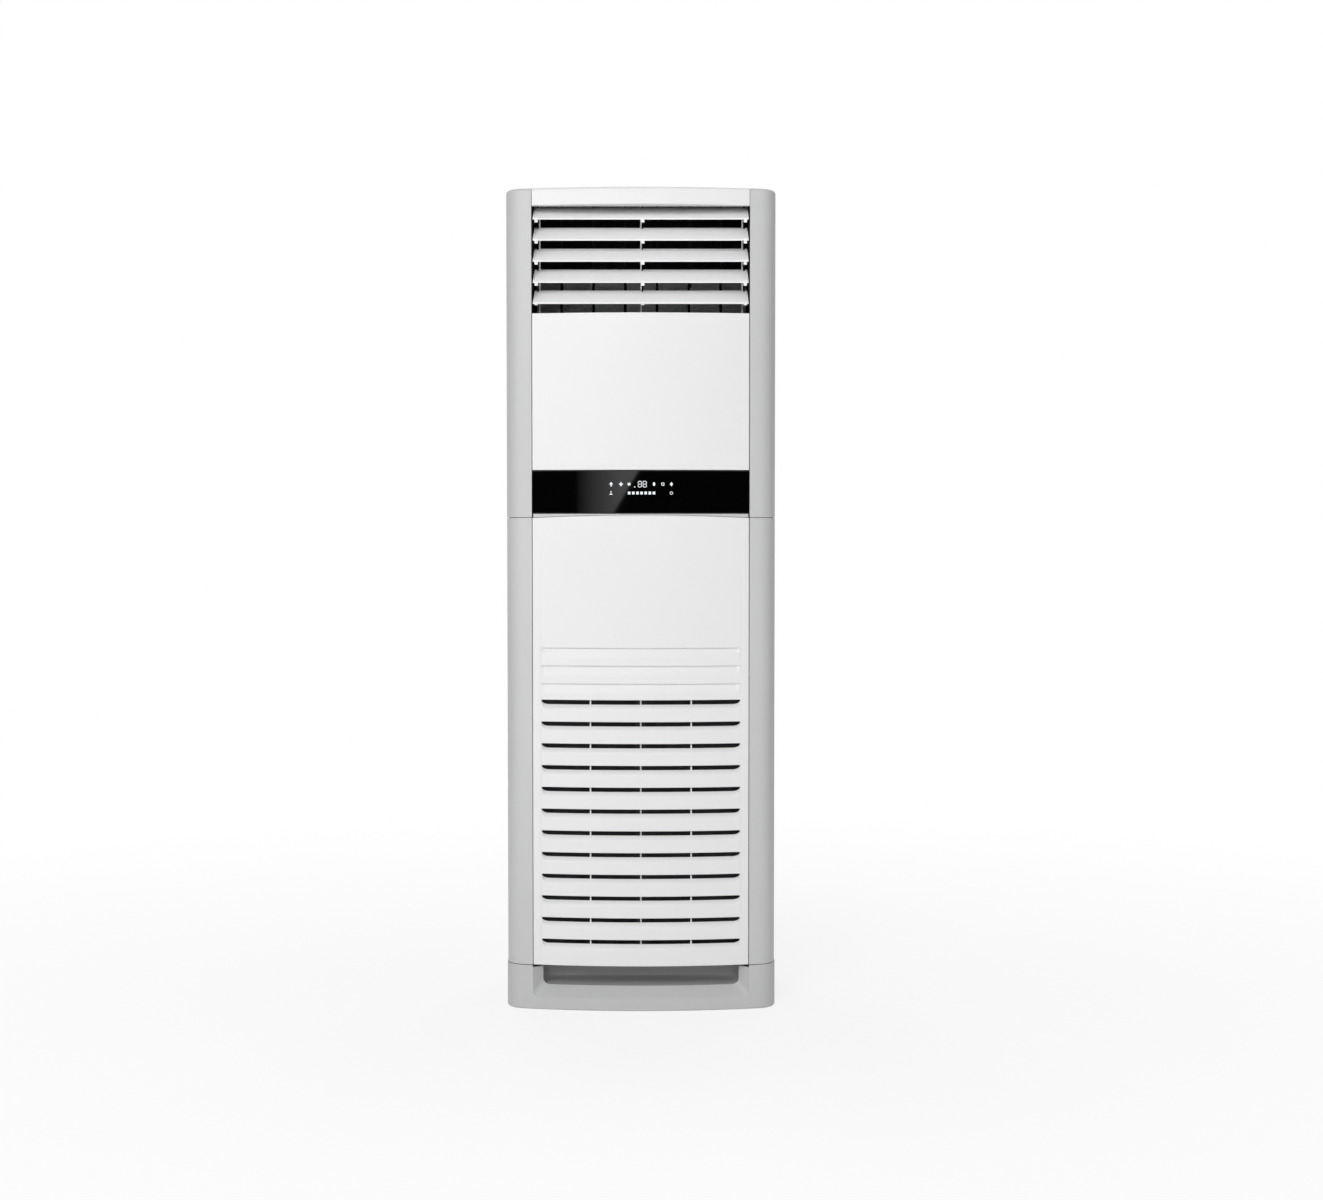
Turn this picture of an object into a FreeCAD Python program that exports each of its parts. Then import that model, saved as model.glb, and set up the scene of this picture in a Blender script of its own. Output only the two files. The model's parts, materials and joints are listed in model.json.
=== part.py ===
"""Floor standing air conditioner: a cabinet with a blower below, a slanted coil above it,
tilting outlet blades at the top and a drop-down intake panel at the front.

Millimetres, +Z up, front towards -Y, origin on the floor under the middle of the cabinet.
"""
import FreeCAD
import Part
import Sketcher
import math
import operator
import os

V = FreeCAD.Vector
doc = FreeCAD.newDocument("air_conditioner")
NODES = []

# Driving sizes, in millimetres and degrees
SIZES = {
    # Cabinet
    "body_width": 600,
    "body_height": 1825,
    "body_depth": 370,
    "reference_width": 600,
    "reference_height": 1825,
    "reference_depth": 370,
    "bow_radius": 1307,
    "corner_radius": 45,
    "top_edge_radius": 8,
    "skin": 2.6,
    "sheet_wall": 1.5,
    "seam": 1.2,
    "fine_seam": 0.5,
    "standoff": 0.3,
    # Columns, side sheets and lid
    "column_width": 59,
    "column_depth": 125,
    "column_return_depth": 83.5,
    "flange_width": 16,
    "lid_height": 25,
    "screw_head_height": 2.2,
    "screw_head_radius": 4,
    "screw_shank_radius": 1.9,
    "screw_length": 8,
    # Heights of the front
    "plinth_height": 99,
    "split_height": 1099,
    "display_gap": 8.5,
    "display_height": 96.5,
    "outlet_height": 236,
    "top_bar_height": 39,
    # Plinth
    "plinth_proud": 1.5,
    "recess_lip_height": 28,
    "recess_slope_height": 52,
    "recess_slope_depth": 25,
    "recess_floor_height": 50,
    "recess_pocket_depth": 75,
    "recess_side_slope": 22,
    "recess_top_clearance": 5,
    # Base pan
    "pan_height": 30,
    "anchor_spacing_across": 440,
    "anchor_spacing_along": 190,
    "anchor_hole_radius": 6,
    # Intake panel
    "panel_depth": 11.2011,
    "panel_crown": 6,
    "slot_pitch": 48.66,
    "slot_opening": 9.5,
    "slot_half_length": 221,
    "first_slot_drop": 407.4,
    "scoop_height": 24,
    "scoop_depth": 9,
    "blind_pitch": 39.7,
    "blind_depth": 6,
    "grille_rib_spacing": 112,
    "grille_rib_wall": 3,
    "hinge_pin_radius": 3,
    "hinge_pin_clearance": 0.1,
    "hinge_pin_height": 6,
    "hinge_pin_setback": 4.5,
    "catch_spacing": 300,
    "catch_drop": 30,
    "catch_size": 12,
    # Filters and their frame
    "filter_frame_depth": 22,
    "filter_frame_height": 633,
    "filter_thickness": 8,
    "filter_lift": 20,
    "filter_border": 12,
    "filter_clearance": 1,
    "filter_mesh_wall": 0.8,
    # Blower
    "wheel_radius": 165,
    "wheel_eye_radius": 140,
    "wheel_width": 130,
    "wheel_plate_wall": 2.5,
    "wheel_blade_wall": 1.4,
    "wheel_hub_radius": 22,
    "wheel_hub_length": 36,
    "wheel_offset": 40,
    "wheel_height": 400,
    "shaft_radius": 6.35,
    "shaft_clearance": 0.3,
    "scroll_growth": 40,
    "scroll_cutoff_gap": 12,
    "scroll_side_gap": 9,
    "scroll_wall": 2,
    "scroll_setback": 123.5,
    "inlet_radius": 128,
    "inlet_flange_width": 40,
    "motor_radius": 65,
    "motor_length": 72,
    "motor_gap": 12,
    "bracket_half_width": 90,
    "bracket_half_height": 50,
    # Shelf, drain pan and coil
    "shelf_height": 705,
    "drain_pan_width": 430,
    "drain_pan_depth": 58,
    "drain_pan_height": 26,
    "coil_width": 410,
    "coil_height": 560,
    "coil_thickness": 38,
    "coil_plate_margin": 3,
    "coil_tilt": 21,
    "coil_tube_radius": 4.8,
    "coil_tube_pitch": 25.4,
    "gas_pipe_radius": 9.5,
    "liquid_pipe_radius": 4.8,
    "pipe_bend_radius": 30,
    "pipe_side_gap": 25,
    "pipe_exit_offset": 235,
    "pipe_exit_height": 150,
    "pipe_exit_radius": 34,
    "cable_exit_offset": 150,
    "cable_exit_radius": 12,
    "grommet_wall": 6,
    "grommet_flange": 6,
    "wall_hole_spacing": 400,
    "wall_hole_drop": 120,
    "wall_hole_radius": 4.5,
    # Electrics
    "beam_height": 40,
    "beam_depth": 30,
    "beam_setback": 48.5,
    "control_box_width": 260,
    "control_box_height": 200,
    "control_box_depth": 63,
    "board_wall": 1.6,
    "display_board_width": 150,
    "display_board_height": 50,
    # Outlet
    "duct_wall": 2,
    "duct_rise": 31,
    "duct_setback": 11.2011,
    "duct_depth": 160,
    "liner_wall": 8,
    "blade_chord": 61,
    "blade_arm": 14,
    "blade_wall": 3.2,
    "blade_camber": 1.2,
    "blade_tilt": 33.3,
    "blade_pitch": 46.4,
    "blade_front_setback": 27.5,
    "lowest_blade_rise": 21.7,
    "blade_end_gap": 1,
    "blade_end_taper": 1.6,
    "blade_pin_radius": 2.5,
    "pivot_clearance": 0.1,
    "lug_wall": 3,
    "lug_radius": 6,
    "strip_offset": 226.5,
    "strip_wall": 3,
    "strip_front": 5.5,
    "strip_rear": 8,
    "blade_crank": 12,
    "blade_link_offset": 114,
    "link_wall": 3,
    "link_half_width": 4,
    "vane_pitch": 72,
    "vane_wall": 2.5,
    "vane_front": 25,
    "vane_rear": 35,
    "vane_setback": 143.5,
    "vane_end_gap": 8,
    "vane_spindle_radius": 3,
    "vane_crank": 20,
    "vane_pin_radius": 2,
    "vane_motor_radius": 14,
    "vane_motor_height": 22,
}

# Counts
SLOTS = 12
BLIND_SCOOPS = 3
WHEEL_BLADES = 40
LOUVERS = 5
VANES = 6
DRIVEN_VANE = 3
COIL_ROWS = 20
COIL_COLUMNS = 2


class Dim:
    """A size with its number and the sheet formula that it comes from."""

    def __init__(self, number, formula):
        self.number = number
        self.formula = formula

    def __add__(self, other):
        return joined(self, "+", other)

    def __radd__(self, other):
        return joined(other, "+", self)

    def __sub__(self, other):
        return joined(self, "-", other)

    def __rsub__(self, other):
        return joined(other, "-", self)

    def __mul__(self, other):
        return joined(self, "*", other)

    def __rmul__(self, other):
        return joined(other, "*", self)

    def __truediv__(self, other):
        return joined(self, "/", other)

    def __neg__(self):
        return joined(-1, "*", self)


OPERATIONS = {"+": operator.add, "-": operator.sub, "*": operator.mul, "/": operator.truediv}


def as_dim(value):
    """The value as a Dim, whether it is one already or a plain number."""
    if isinstance(value, Dim):
        return value
    return Dim(float(value), f"({float(value)!r})")


def joined(left, sign, right):
    """Two sizes joined by a sign, in the number and in the formula."""
    left = as_dim(left)
    right = as_dim(right)
    return Dim(OPERATIONS[sign](left.number, right.number), f"({left.formula} {sign} {right.formula})")


def root(size):
    return Dim(math.sqrt(size.number), f"sqrt({size.formula})")


def sine(angle):
    return Dim(math.sin(math.radians(angle.number)), f"sin({angle.formula})")


def cosine(angle):
    return Dim(math.cos(math.radians(angle.number)), f"cos({angle.formula})")


def half_angle(across, radius):
    """The angle, in degrees, whose sine is across over radius."""
    ratio = across / radius
    return Dim(math.degrees(math.asin(ratio.number)), f"(asin({ratio.formula}) / 1 deg)")


class Sheet:
    """The spreadsheet of driving sizes, read by name as Dims."""

    def __init__(self, sizes):
        self.cells = doc.addObject("Spreadsheet::Sheet", "sizes")
        for row, (alias, number) in enumerate(sizes.items(), start=1):
            self.cells.set(f"A{row}", alias)
            self.cells.set(f"B{row}", str(number))
            self.cells.setAlias(f"B{row}", alias)
            setattr(self, alias, Dim(float(number), f"sizes.{alias}"))
        doc.recompute()


S = Sheet(SIZES)


def bind(thing, values):
    """Ties properties of a document object to sheet formulas."""
    for name, value in values.items():
        thing.setExpression(name, as_dim(value).formula)


# What turns a rod's own axis, +Z, to each row axis
TURNS = {
    "x": FreeCAD.Rotation(V(0, 1, 0), 90),
    "y": FreeCAD.Rotation(V(1, 0, 0), -90),
    "z": FreeCAD.Rotation(),
}


def place(thing, x, y, z, turn=FreeCAD.Rotation()):
    thing.Placement = FreeCAD.Placement(V(0, 0, 0), turn)
    bind(thing, {"Placement.Base.x": x, "Placement.Base.y": y, "Placement.Base.z": z})


def box_sizes(x0, x1, y0, y1, z0, z1):
    return {"Length": as_dim(x1) - x0, "Width": as_dim(y1) - y0, "Height": as_dim(z1) - z0}


def in_order(*values):
    """The values as Dims, the smallest first."""
    return sorted((as_dim(value) for value in values), key=lambda value: value.number)


def rod_ends(axis, start, end, across):
    """Where a rod begins: across holds its two other coordinates, in X, Y, Z order."""
    low, high = in_order(start, end)
    corner = list(across)
    corner.insert("xyz".index(axis), low)
    return corner, high - low


def box(x0, x1, y0, y1, z0, z1):
    made = doc.addObject("Part::Box", "block")
    place(made, x0, y0, z0)
    bind(made, box_sizes(x0, x1, y0, y1, z0, z1))
    return made


def rod(axis, radius, start, end, across):
    made = doc.addObject("Part::Cylinder", "rod")
    corner, length = rod_ends(axis, start, end, across)
    place(made, *corner, TURNS[axis])
    bind(made, {"Radius": radius, "Height": length})
    return made


def fuse(*shapes):
    made = doc.addObject("Part::MultiFuse", "joined")
    made.Shapes = list(shapes)
    made.Refine = True
    return made


def common(base, tool):
    made = doc.addObject("Part::Common", "shared")
    made.Base = base
    made.Tool = tool
    return made


def cut(base, *tools):
    made = doc.addObject("Part::Cut", "trimmed")
    made.Base = base
    made.Tool = tools[0] if len(tools) == 1 else fuse(*tools)
    made.Refine = True
    return made


def group(*shapes):
    """Separate solids that share one node."""
    made = doc.addObject("Part::Compound", "set")
    made.Links = list(shapes)
    return made


def node(label, thing):
    """Names a finished sub-part."""
    doc.recompute()
    thing.Label = label
    NODES.append(thing)
    return thing


def arc_centre(first, second, radius, side):
    """Centre of the arc from first to second that turns left (side 1) or right (side -1)."""
    chord = second - first
    middle = (first + second) * 0.5
    reach = math.sqrt(max(radius * radius - chord.Length ** 2 / 4, 0))
    left = V(-chord.y, chord.x, 0).normalize()
    return middle + left * reach * side


def draw(sketch, loops):
    """Draws closed loops of corners, each held by sheet formulas.

    A corner is (x, y), or (x, y, radius, side) where an arc runs from it to the next corner.
    A loop of one corner, (x, y, radius), is a circle.
    """
    for loop in loops:
        if len(loop) == 1:
            draw_circle(sketch, *loop[0])
        else:
            draw_loop(sketch, loop)


def hold(sketch, kind, edge, end, size):
    index = sketch.addConstraint(Sketcher.Constraint(kind, edge, end, as_dim(size).number))
    sketch.setExpression(f"Constraints[{index}]", as_dim(size).formula)


def hold_radius(sketch, edge, radius):
    index = sketch.addConstraint(Sketcher.Constraint("Radius", edge, as_dim(radius).number))
    sketch.setExpression(f"Constraints[{index}]", as_dim(radius).formula)


def draw_circle(sketch, x, y, radius):
    centre = V(as_dim(x).number, as_dim(y).number, 0)
    edge = sketch.addGeometry(Part.Circle(centre, V(0, 0, 1), as_dim(radius).number))
    hold(sketch, "DistanceX", edge, 3, x)
    hold(sketch, "DistanceY", edge, 3, y)
    hold_radius(sketch, edge, radius)


def draw_loop(sketch, loop):
    points = [V(as_dim(corner[0]).number, as_dim(corner[1]).number, 0) for corner in loop]
    ends = []
    for corner, first, second in zip(loop, points, points[1:] + points[:1]):
        if len(corner) == 2:
            edge = sketch.addGeometry(Part.LineSegment(first, second))
            ends.append((edge, 1, 2))
            continue
        radius, side = as_dim(corner[2]), corner[3]
        centre = arc_centre(first, second, radius.number, side)
        start, stop = (first, second) if side > 0 else (second, first)
        angles = [math.atan2(point.y - centre.y, point.x - centre.x) for point in (start, stop)]
        circle = Part.Circle(centre, V(0, 0, 1), radius.number)
        edge = sketch.addGeometry(Part.ArcOfCircle(circle, *angles))
        ends.append((edge, 1, 2) if side > 0 else (edge, 2, 1))
    for (edge, _, last), (following, start, _) in zip(ends, ends[1:] + ends[:1]):
        sketch.addConstraint(Sketcher.Constraint("Coincident", edge, last, following, start))
    for corner, (edge, start, _) in zip(loop, ends):
        hold(sketch, "DistanceX", edge, start, corner[0])
        hold(sketch, "DistanceY", edge, start, corner[1])
        if len(corner) > 2:
            hold_radius(sketch, edge, corner[2])


def side_sketch(name, loops):
    """A free sketch in the YZ plane: its own x is Y and its own y is Z."""
    sketch = doc.addObject("Sketcher::SketchObject", name)
    sketch.Placement = FreeCAD.Placement(V(0, 0, 0), FreeCAD.Rotation(V(1, 1, 1), 120))
    draw(sketch, loops)
    return sketch


def bowed(name, loops, half_width):
    """A side profile swept round the axis of the bowed front, out to half_width at the surface."""
    made = doc.addObject("Part::Revolution", name)
    made.Source = side_sketch(name + "_profile", loops)
    made.Axis = V(0, 0, 1)
    made.Symmetric = True
    made.Solid = True
    bind(made, {"Base.y": y_bow_centre, "Angle": 2 * half_angle(half_width, bow_radius)})
    return made


class Piece:
    """A PartDesign body built up from additions and cuts."""

    def __init__(self, name):
        self.body = doc.addObject("PartDesign::Body", name)

    def plane(self, role):
        return next(part for part in self.body.Origin.OriginFeatures if part.Role == role)

    def sketch(self, role, loops, offset=0):
        """A sketch on an origin plane, moved along that plane's normal by offset."""
        made = self.body.newObject("Sketcher::SketchObject", "profile")
        made.AttachmentSupport = [(self.plane(role), "")]
        made.MapMode = "FlatFace"
        bind(made, {"AttachmentOffset.Base.z": offset})
        draw(made, loops)
        return made

    def feature(self, kind, sketch, values, **settings):
        made = self.body.newObject(f"PartDesign::{kind}", kind.lower())
        made.Profile = sketch
        for name, value in settings.items():
            setattr(made, name, value)
        bind(made, values)
        doc.recompute()
        return made

    def pad(self, role, loops, length, offset=0, **settings):
        return self.feature("Pad", self.sketch(role, loops, offset), {"Length": length}, **settings)

    def pocket_through(self, role, loops):
        sketch = self.sketch(role, loops)
        return self.feature("Pocket", sketch, {}, Type="ThroughAll", SideType="Symmetric")

    def revolve(self, role, loops, axis):
        sketch = self.sketch(role, loops)
        return self.feature("Revolution", sketch, {}, ReferenceAxis=(sketch, [axis]))

    def box(self, x0, x1, y0, y1, z0, z1, kind="Additive"):
        made = self.body.newObject(f"PartDesign::{kind}Box", "block")
        place(made, x0, y0, z0)
        bind(made, box_sizes(x0, x1, y0, y1, z0, z1))
        doc.recompute()

    def rod(self, axis, radius, start, end, across, kind="Additive"):
        made = self.body.newObject(f"PartDesign::{kind}Cylinder", "rod")
        corner, length = rod_ends(axis, start, end, across)
        place(made, *corner, TURNS[axis])
        bind(made, {"Radius": radius, "Height": length})
        doc.recompute()

    def cut_box(self, *corners):
        self.box(*corners, kind="Subtractive")

    def cut_rod(self, *ends):
        self.rod(*ends, kind="Subtractive")

    def polar(self, feature, axis, count):
        made = self.body.newObject("PartDesign::PolarPattern", "ring")
        made.Originals = [feature]
        made.Axis = (self.plane(axis), [""])
        made.Occurrences = count
        made.Angle = 360
        self.body.Tip = made
        doc.recompute()

    def put(self, x, y, z, axis=V(0, 0, 1), angle=None):
        """Moves the finished piece, and turns it about one axis first."""
        place(self.body, x, y, z, FreeCAD.Rotation(axis, 0 if angle is None else angle.number))
        if angle is not None:
            bind(self.body, {"Placement.Rotation.Angle": angle})

    def done(self, label):
        return node(label, self.body)


# Levels and planes worked out from the driving sizes
half = S.body_width / 2
spread = S.body_width / S.reference_width
widen = (S.body_width - S.reference_width) / 2
deepen = S.body_depth - S.reference_depth
stretch = S.body_height / S.reference_height

# Places across the width that keep their distance from the sides, or their share of the width
bow_radius = S.bow_radius * spread * spread
x_slot = S.slot_half_length + widen
x_strip = S.strip_offset + widen
x_rib = S.grille_rib_spacing + widen / 2
x_link = S.blade_link_offset + widen / 2
x_catch = S.catch_spacing / 2 + widen / 2
x_anchor = S.anchor_spacing_across / 2 + widen
x_wall_hole = S.wall_hole_spacing / 2 + widen
x_pipe_exit = S.pipe_exit_offset + widen
x_cable_exit = S.cable_exit_offset + widen
x_coil = S.coil_width / 2 + widen
x_drain_pan = S.drain_pan_width / 2 + widen
vane_step = S.vane_pitch + 2 * widen / (VANES - 1)
wheel_radius = S.wheel_radius * spread
eye_radius = S.wheel_eye_radius * spread
inlet_radius = S.inlet_radius * spread
scroll_growth = S.scroll_growth * spread
wheel_offset = S.wheel_offset * spread

# Depths and heights that keep their share of the cabinet
wheel_width = S.wheel_width + deepen * 0.8
coil_lean = S.coil_tilt * S.body_depth / S.reference_depth
z_split = S.split_height * stretch
z_shelf = S.shelf_height * stretch
z_wheel = S.wheel_height * stretch
first_slot_drop = S.first_slot_drop * stretch
slot_step = S.slot_pitch * stretch
blind_step = S.blind_pitch * stretch
filter_frame_height = S.filter_frame_height * stretch

# Levels and planes
y_front = S.plinth_proud - S.body_depth / 2
y_back = S.body_depth / 2 - S.screw_head_height
y_inside_back = y_back - S.sheet_wall
y_bow_centre = y_front + bow_radius
x_column = half - S.column_width + S.seam / 2
x_panel = half - S.column_width - S.seam / 2
y_column_back = y_front + S.column_depth
y_column_return = y_front + S.column_return_depth
z_display = z_split + S.display_gap
z_upper_panel = z_display + S.display_height
z_outlet_top = S.body_height - S.top_bar_height
z_outlet = z_outlet_top - S.outlet_height
z_lid = S.body_height - S.lid_height
z_panel = S.plinth_height + S.seam
z_hinge = z_panel + S.hinge_pin_height
SPARE = 1


def bow(across):
    """Y of the bowed front at a distance from its middle."""
    return y_bow_centre - root(bow_radius * bow_radius - across * across)


# The intake panel's depth and the duct's setback are measured at the panel's ends,
# where the bow leaves the least room
y_panel_back = bow(x_panel) + S.panel_depth
y_duct = bow(x_panel) + S.duct_setback
y_hinge = y_panel_back - S.hinge_pin_setback


def plan_outline(offset, back):
    """Plan of the cabinet at an offset outside its skin: bowed front, round corners, flat back."""
    side = half + offset
    outer_bow = bow_radius + offset
    corner = S.corner_radius + offset
    x_fillet = side - corner
    inner = outer_bow - corner
    rise = root(inner * inner - x_fillet * x_fillet)
    y_fillet = y_bow_centre - rise
    reach = outer_bow / inner
    x_bow = x_fillet * reach
    y_bow = y_bow_centre - rise * reach
    return [
        (-side, back),
        (-side, y_fillet, corner, 1),
        (-x_bow, y_bow, outer_bow, 1),
        (x_bow, y_bow, corner, 1),
        (side, y_fillet),
        (side, back),
    ]


def envelope(name, offset, back, top, edge_radius=None):
    """A solid of the cabinet's plan from the floor up to top."""
    piece = Piece(name)
    pad = piece.pad("XY_Plane", [plan_outline(offset, back)], top)
    if edge_radius is not None:
        faces = piece.body.Shape.Faces
        highest = max(range(len(faces)), key=lambda index: faces[index].CenterOfMass.z)
        fillet = piece.body.newObject("PartDesign::Fillet", "top_edge")
        fillet.Base = (pad, [f"Face{highest + 1}"])
        bind(fillet, {"Radius": edge_radius})
        piece.body.Tip = fillet
        doc.recompute()
    return piece.body


outer_skin = envelope("outer_skin", as_dim(0), y_back, S.body_height, S.top_edge_radius)
inner_skin = envelope(
    "inner_skin", -S.skin, y_back - S.skin, S.body_height - S.skin, S.top_edge_radius - S.skin)


def moulding(region, cavity):
    """The part of the cabinet's skin inside one box, with the walls that the cavity box leaves."""
    return cut(common(outer_skin, box(*region)), common(inner_skin, box(*cavity)))


def mirrored_box(side, x0, x1, *rest):
    """A box given for the right-hand side, or its mirror image for the left (side -1)."""
    if side > 0:
        return (x0, x1, *rest)
    return (-as_dim(x1), -as_dim(x0), *rest)


SIDES = {"left": -1, "right": 1}


# Columns, side sheets, lid, rear sheet and their screws
def column(side, z0, z1, z_cavity_end):
    """A moulded corner column with a return along the panels."""
    y0 = y_front - SPARE
    region = mirrored_box(side, x_column, half + SPARE, y0, y_column_back, z0, z1)
    cavity = mirrored_box(
        side, x_column + S.skin, half, y0, y_column_back + SPARE, z0 - SPARE, z_cavity_end)
    behind_return = mirrored_box(
        side, x_column - SPARE, half - S.skin, y_column_return, y_column_back + SPARE,
        z0 - SPARE, z1 - S.skin)
    return cut(moulding(region, cavity), box(*behind_return))


def lower_column(label, side):
    z1 = z_split - S.seam / 2
    blank = column(side, S.plinth_height + S.seam, z1 + S.skin, z_split + S.skin)
    top = mirrored_box(side, x_column - SPARE, half + SPARE, y_front - SPARE, y_column_back + SPARE,
                       z1, z_split + 2 * S.skin)
    socket = rod("x", S.hinge_pin_radius + S.hinge_pin_clearance,
                 side * (x_column + 2 * S.skin), side * (x_column - SPARE), (y_hinge, z_hinge))
    return node(label, cut(blank, box(*top), socket))


def side_sheet(label, side):
    x_skin = half - S.sheet_wall
    z0 = S.plinth_height
    wall = box(*mirrored_box(side, x_skin, half, y_column_back, y_inside_back, z0, z_lid))
    front = box(*mirrored_box(side, half - S.flange_width, half, y_column_back,
                              y_column_back + S.sheet_wall, z0, z_lid))
    rear = box(*mirrored_box(side, half - S.flange_width, half, y_inside_back - S.sheet_wall,
                             y_inside_back, z0, z_lid))
    return node(label, cut(fuse(wall, front, rear), screw_holes))


def screw_places():
    """X and Z of the rear sheet's screws, down both flanges."""
    x = half - S.flange_width / 2
    rows = 5
    span = z_lid - S.plinth_height - 2 * S.flange_width
    first = S.plinth_height + S.flange_width
    return [(side * x, first + span * (row / (rows - 1))) for side in SIDES.values() for row in range(rows)]


screw_holes = group(*[
    rod("y", S.screw_shank_radius + S.pivot_clearance, y_back - S.screw_length, y_back + SPARE, place_xz)
    for place_xz in screw_places()])

for name, side in SIDES.items():
    lower_column(f"lower_column_{name}", side)
    node(f"upper_column_{name}",
         column(side, z_split + S.seam / 2, S.body_height + SPARE, S.body_height))
    side_sheet(f"side_panel_{name}", side)

lid_front = y_column_back + S.seam
node("top_cover", moulding(
    (-half - SPARE, half + SPARE, lid_front, y_back + SPARE, z_lid, S.body_height + SPARE),
    (-half, half, lid_front - SPARE, y_back, z_lid - SPARE, S.body_height)))

pipe_hole = rod("y", S.pipe_exit_radius, y_inside_back - SPARE, y_back + SPARE,
                (x_pipe_exit, S.pipe_exit_height))
cable_hole = rod("y", S.cable_exit_radius, y_inside_back - SPARE, y_back + SPARE,
                 (x_cable_exit, S.pipe_exit_height))
wall_holes = [
    rod("y", S.wall_hole_radius, y_inside_back - SPARE, y_back + SPARE,
        (side * x_wall_hole, z_lid - S.wall_hole_drop))
    for side in SIDES.values()]
node("rear_panel", cut(
    box(-half, half, y_inside_back, y_back, S.sheet_wall, z_lid),
    screw_holes, pipe_hole, cable_hole, *wall_holes))


def screw(x, z):
    head = rod("y", S.screw_head_radius, y_back, y_back + S.screw_head_height, (x, z))
    shank = rod("y", S.screw_shank_radius, y_back - S.screw_length, y_back, (x, z))
    return fuse(head, shank)


node("cabinet_screws", group(*[screw(*place_xz) for place_xz in screw_places()]))


# Base pan with its floor anchor holes
def base_pan():
    x = half + S.plinth_proud - S.skin
    y0 = y_front + S.column_return_depth
    pan = Piece("pan")
    pan.box(-x, x, y0, y_inside_back, 0, S.pan_height)
    pan.cut_box(S.sheet_wall - x, x - S.sheet_wall, y0 + S.sheet_wall, y_inside_back - S.sheet_wall,
                S.sheet_wall, S.pan_height + SPARE)
    y_middle = (y0 + y_inside_back) / 2
    for across in (-1, 1):
        for along in (-1, 1):
            spot = (across * x_anchor, y_middle + along * S.anchor_spacing_along / 2)
            pan.cut_rod("z", S.anchor_hole_radius, -SPARE, S.sheet_wall + SPARE, spot)
    pan.done("base_pan")


base_pan()


# Plinth with the flared finger recess under the intake panel
def plinth():
    y_out = y_front - S.plinth_proud
    y_slope = y_out + S.recess_slope_depth
    y_pocket = y_slope + S.recess_pocket_depth
    y_block = y_pocket + S.skin
    top = S.plinth_height
    outside = envelope("plinth_outside", S.plinth_proud, y_inside_back, top)
    inside = envelope("plinth_inside", S.plinth_proud - S.skin, y_inside_back + SPARE, top + SPARE)
    ring = cut(outside, inside)
    x_recess = x_column
    x_pocket = x_recess - S.recess_side_slope
    x_block = x_recess + S.skin
    # The shelf steps over the base pan, which begins behind the front skirt
    y_pan = y_front + S.column_return_depth
    fore = box(-x_block, x_block, y_out - SPARE, y_pan - S.seam, 0, top)
    aft = box(-x_block, x_block, y_slope, y_block, S.pan_height + S.seam, top)
    shelf = common(outside, fuse(fore, aft))
    over = S.skin
    steep = (S.recess_slope_height - S.recess_lip_height) / S.recess_slope_depth
    flare = bowed("recess_flare", [[
        (y_out - over, S.recess_lip_height - steep * over),
        (y_slope, S.recess_slope_height),
        (y_slope, top + SPARE),
        (y_out - over, top + SPARE),
    ]], x_block)
    y_side = bow(x_recess) - S.plinth_proud
    funnel = Piece("recess_funnel")
    y_ahead = y_out - S.recess_slope_depth
    y_behind = y_side + S.recess_slope_depth
    funnel.pad("XY_Plane", [[
        (-x_recess, y_ahead),
        (x_recess, y_ahead),
        (x_recess, y_side),
        (x_pocket, y_behind),
        (-x_pocket, y_behind),
        (-x_recess, y_side),
    ]], top + SPARE)
    pocket = bowed("recess_pocket", [[
        (y_slope - SPARE, S.recess_floor_height),
        (y_block, S.recess_floor_height),
        (y_block, top + SPARE),
        (y_slope - SPARE, top + SPARE),
    ]], x_recess)
    pocket_span = box(-x_pocket, x_pocket, y_out, y_pocket, 0, top + SPARE)
    hollow = bowed("recess_hollow", [[
        (y_out + S.skin, -SPARE),
        (y_out + S.skin, S.recess_lip_height - S.skin),
        (y_slope, S.recess_floor_height - S.skin),
        (y_block, S.recess_floor_height - S.skin),
        (y_block, -SPARE),
    ]], x_pocket)
    lip = box(-x_column, x_column, y_out - SPARE, y_block + SPARE, top - S.recess_top_clearance, top + SPARE)
    opening = fuse(common(flare, funnel.body), common(pocket, pocket_span))
    node("plinth", cut(fuse(ring, shelf), opening, hollow, lip))


plinth()


# Intake panel: a tray with open slots below, blind scoops above, hinge pins and catch posts
def slot_loop(z_top, depth, opening, through=None):
    """Profile of one scoop, sloping in from below to its mouth under the lip at z_top.

    A scoop without a through depth ends blind in a back wall.
    """
    steep = (S.scoop_height - opening) / depth
    slope = [
        (y_front + depth, z_top - opening),
        (y_front - SPARE, z_top - S.scoop_height - steep * SPARE),
        (y_front - SPARE, z_top),
    ]
    if through is None:
        return slope + [(y_front + depth, z_top)]
    return slope + [(y_front + through, z_top), (y_front + through, z_top - opening)]


def backing_loop(z_top, depth, opening):
    """Wall that follows a scoop's slope on the inside."""
    return [
        (y_front + S.skin / 2, z_top - S.scoop_height),
        (y_front + depth, z_top - opening),
        (y_front + depth + S.skin, z_top - opening),
        (y_front + S.skin, z_top - S.scoop_height - S.skin),
        (y_front + S.skin / 2, z_top - S.scoop_height - S.skin),
    ]


def blind_backing_loop(z_top, depth):
    """Wall behind a blind scoop, closed over its top."""
    return [
        (y_front + S.skin / 2, z_top + S.skin),
        (y_front + depth + S.skin, z_top + S.skin),
        (y_front + depth + S.skin, z_top - S.slot_opening),
        (y_front + S.skin, z_top - S.scoop_height - S.skin),
        (y_front + S.skin / 2, z_top - S.scoop_height - S.skin),
    ]


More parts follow.
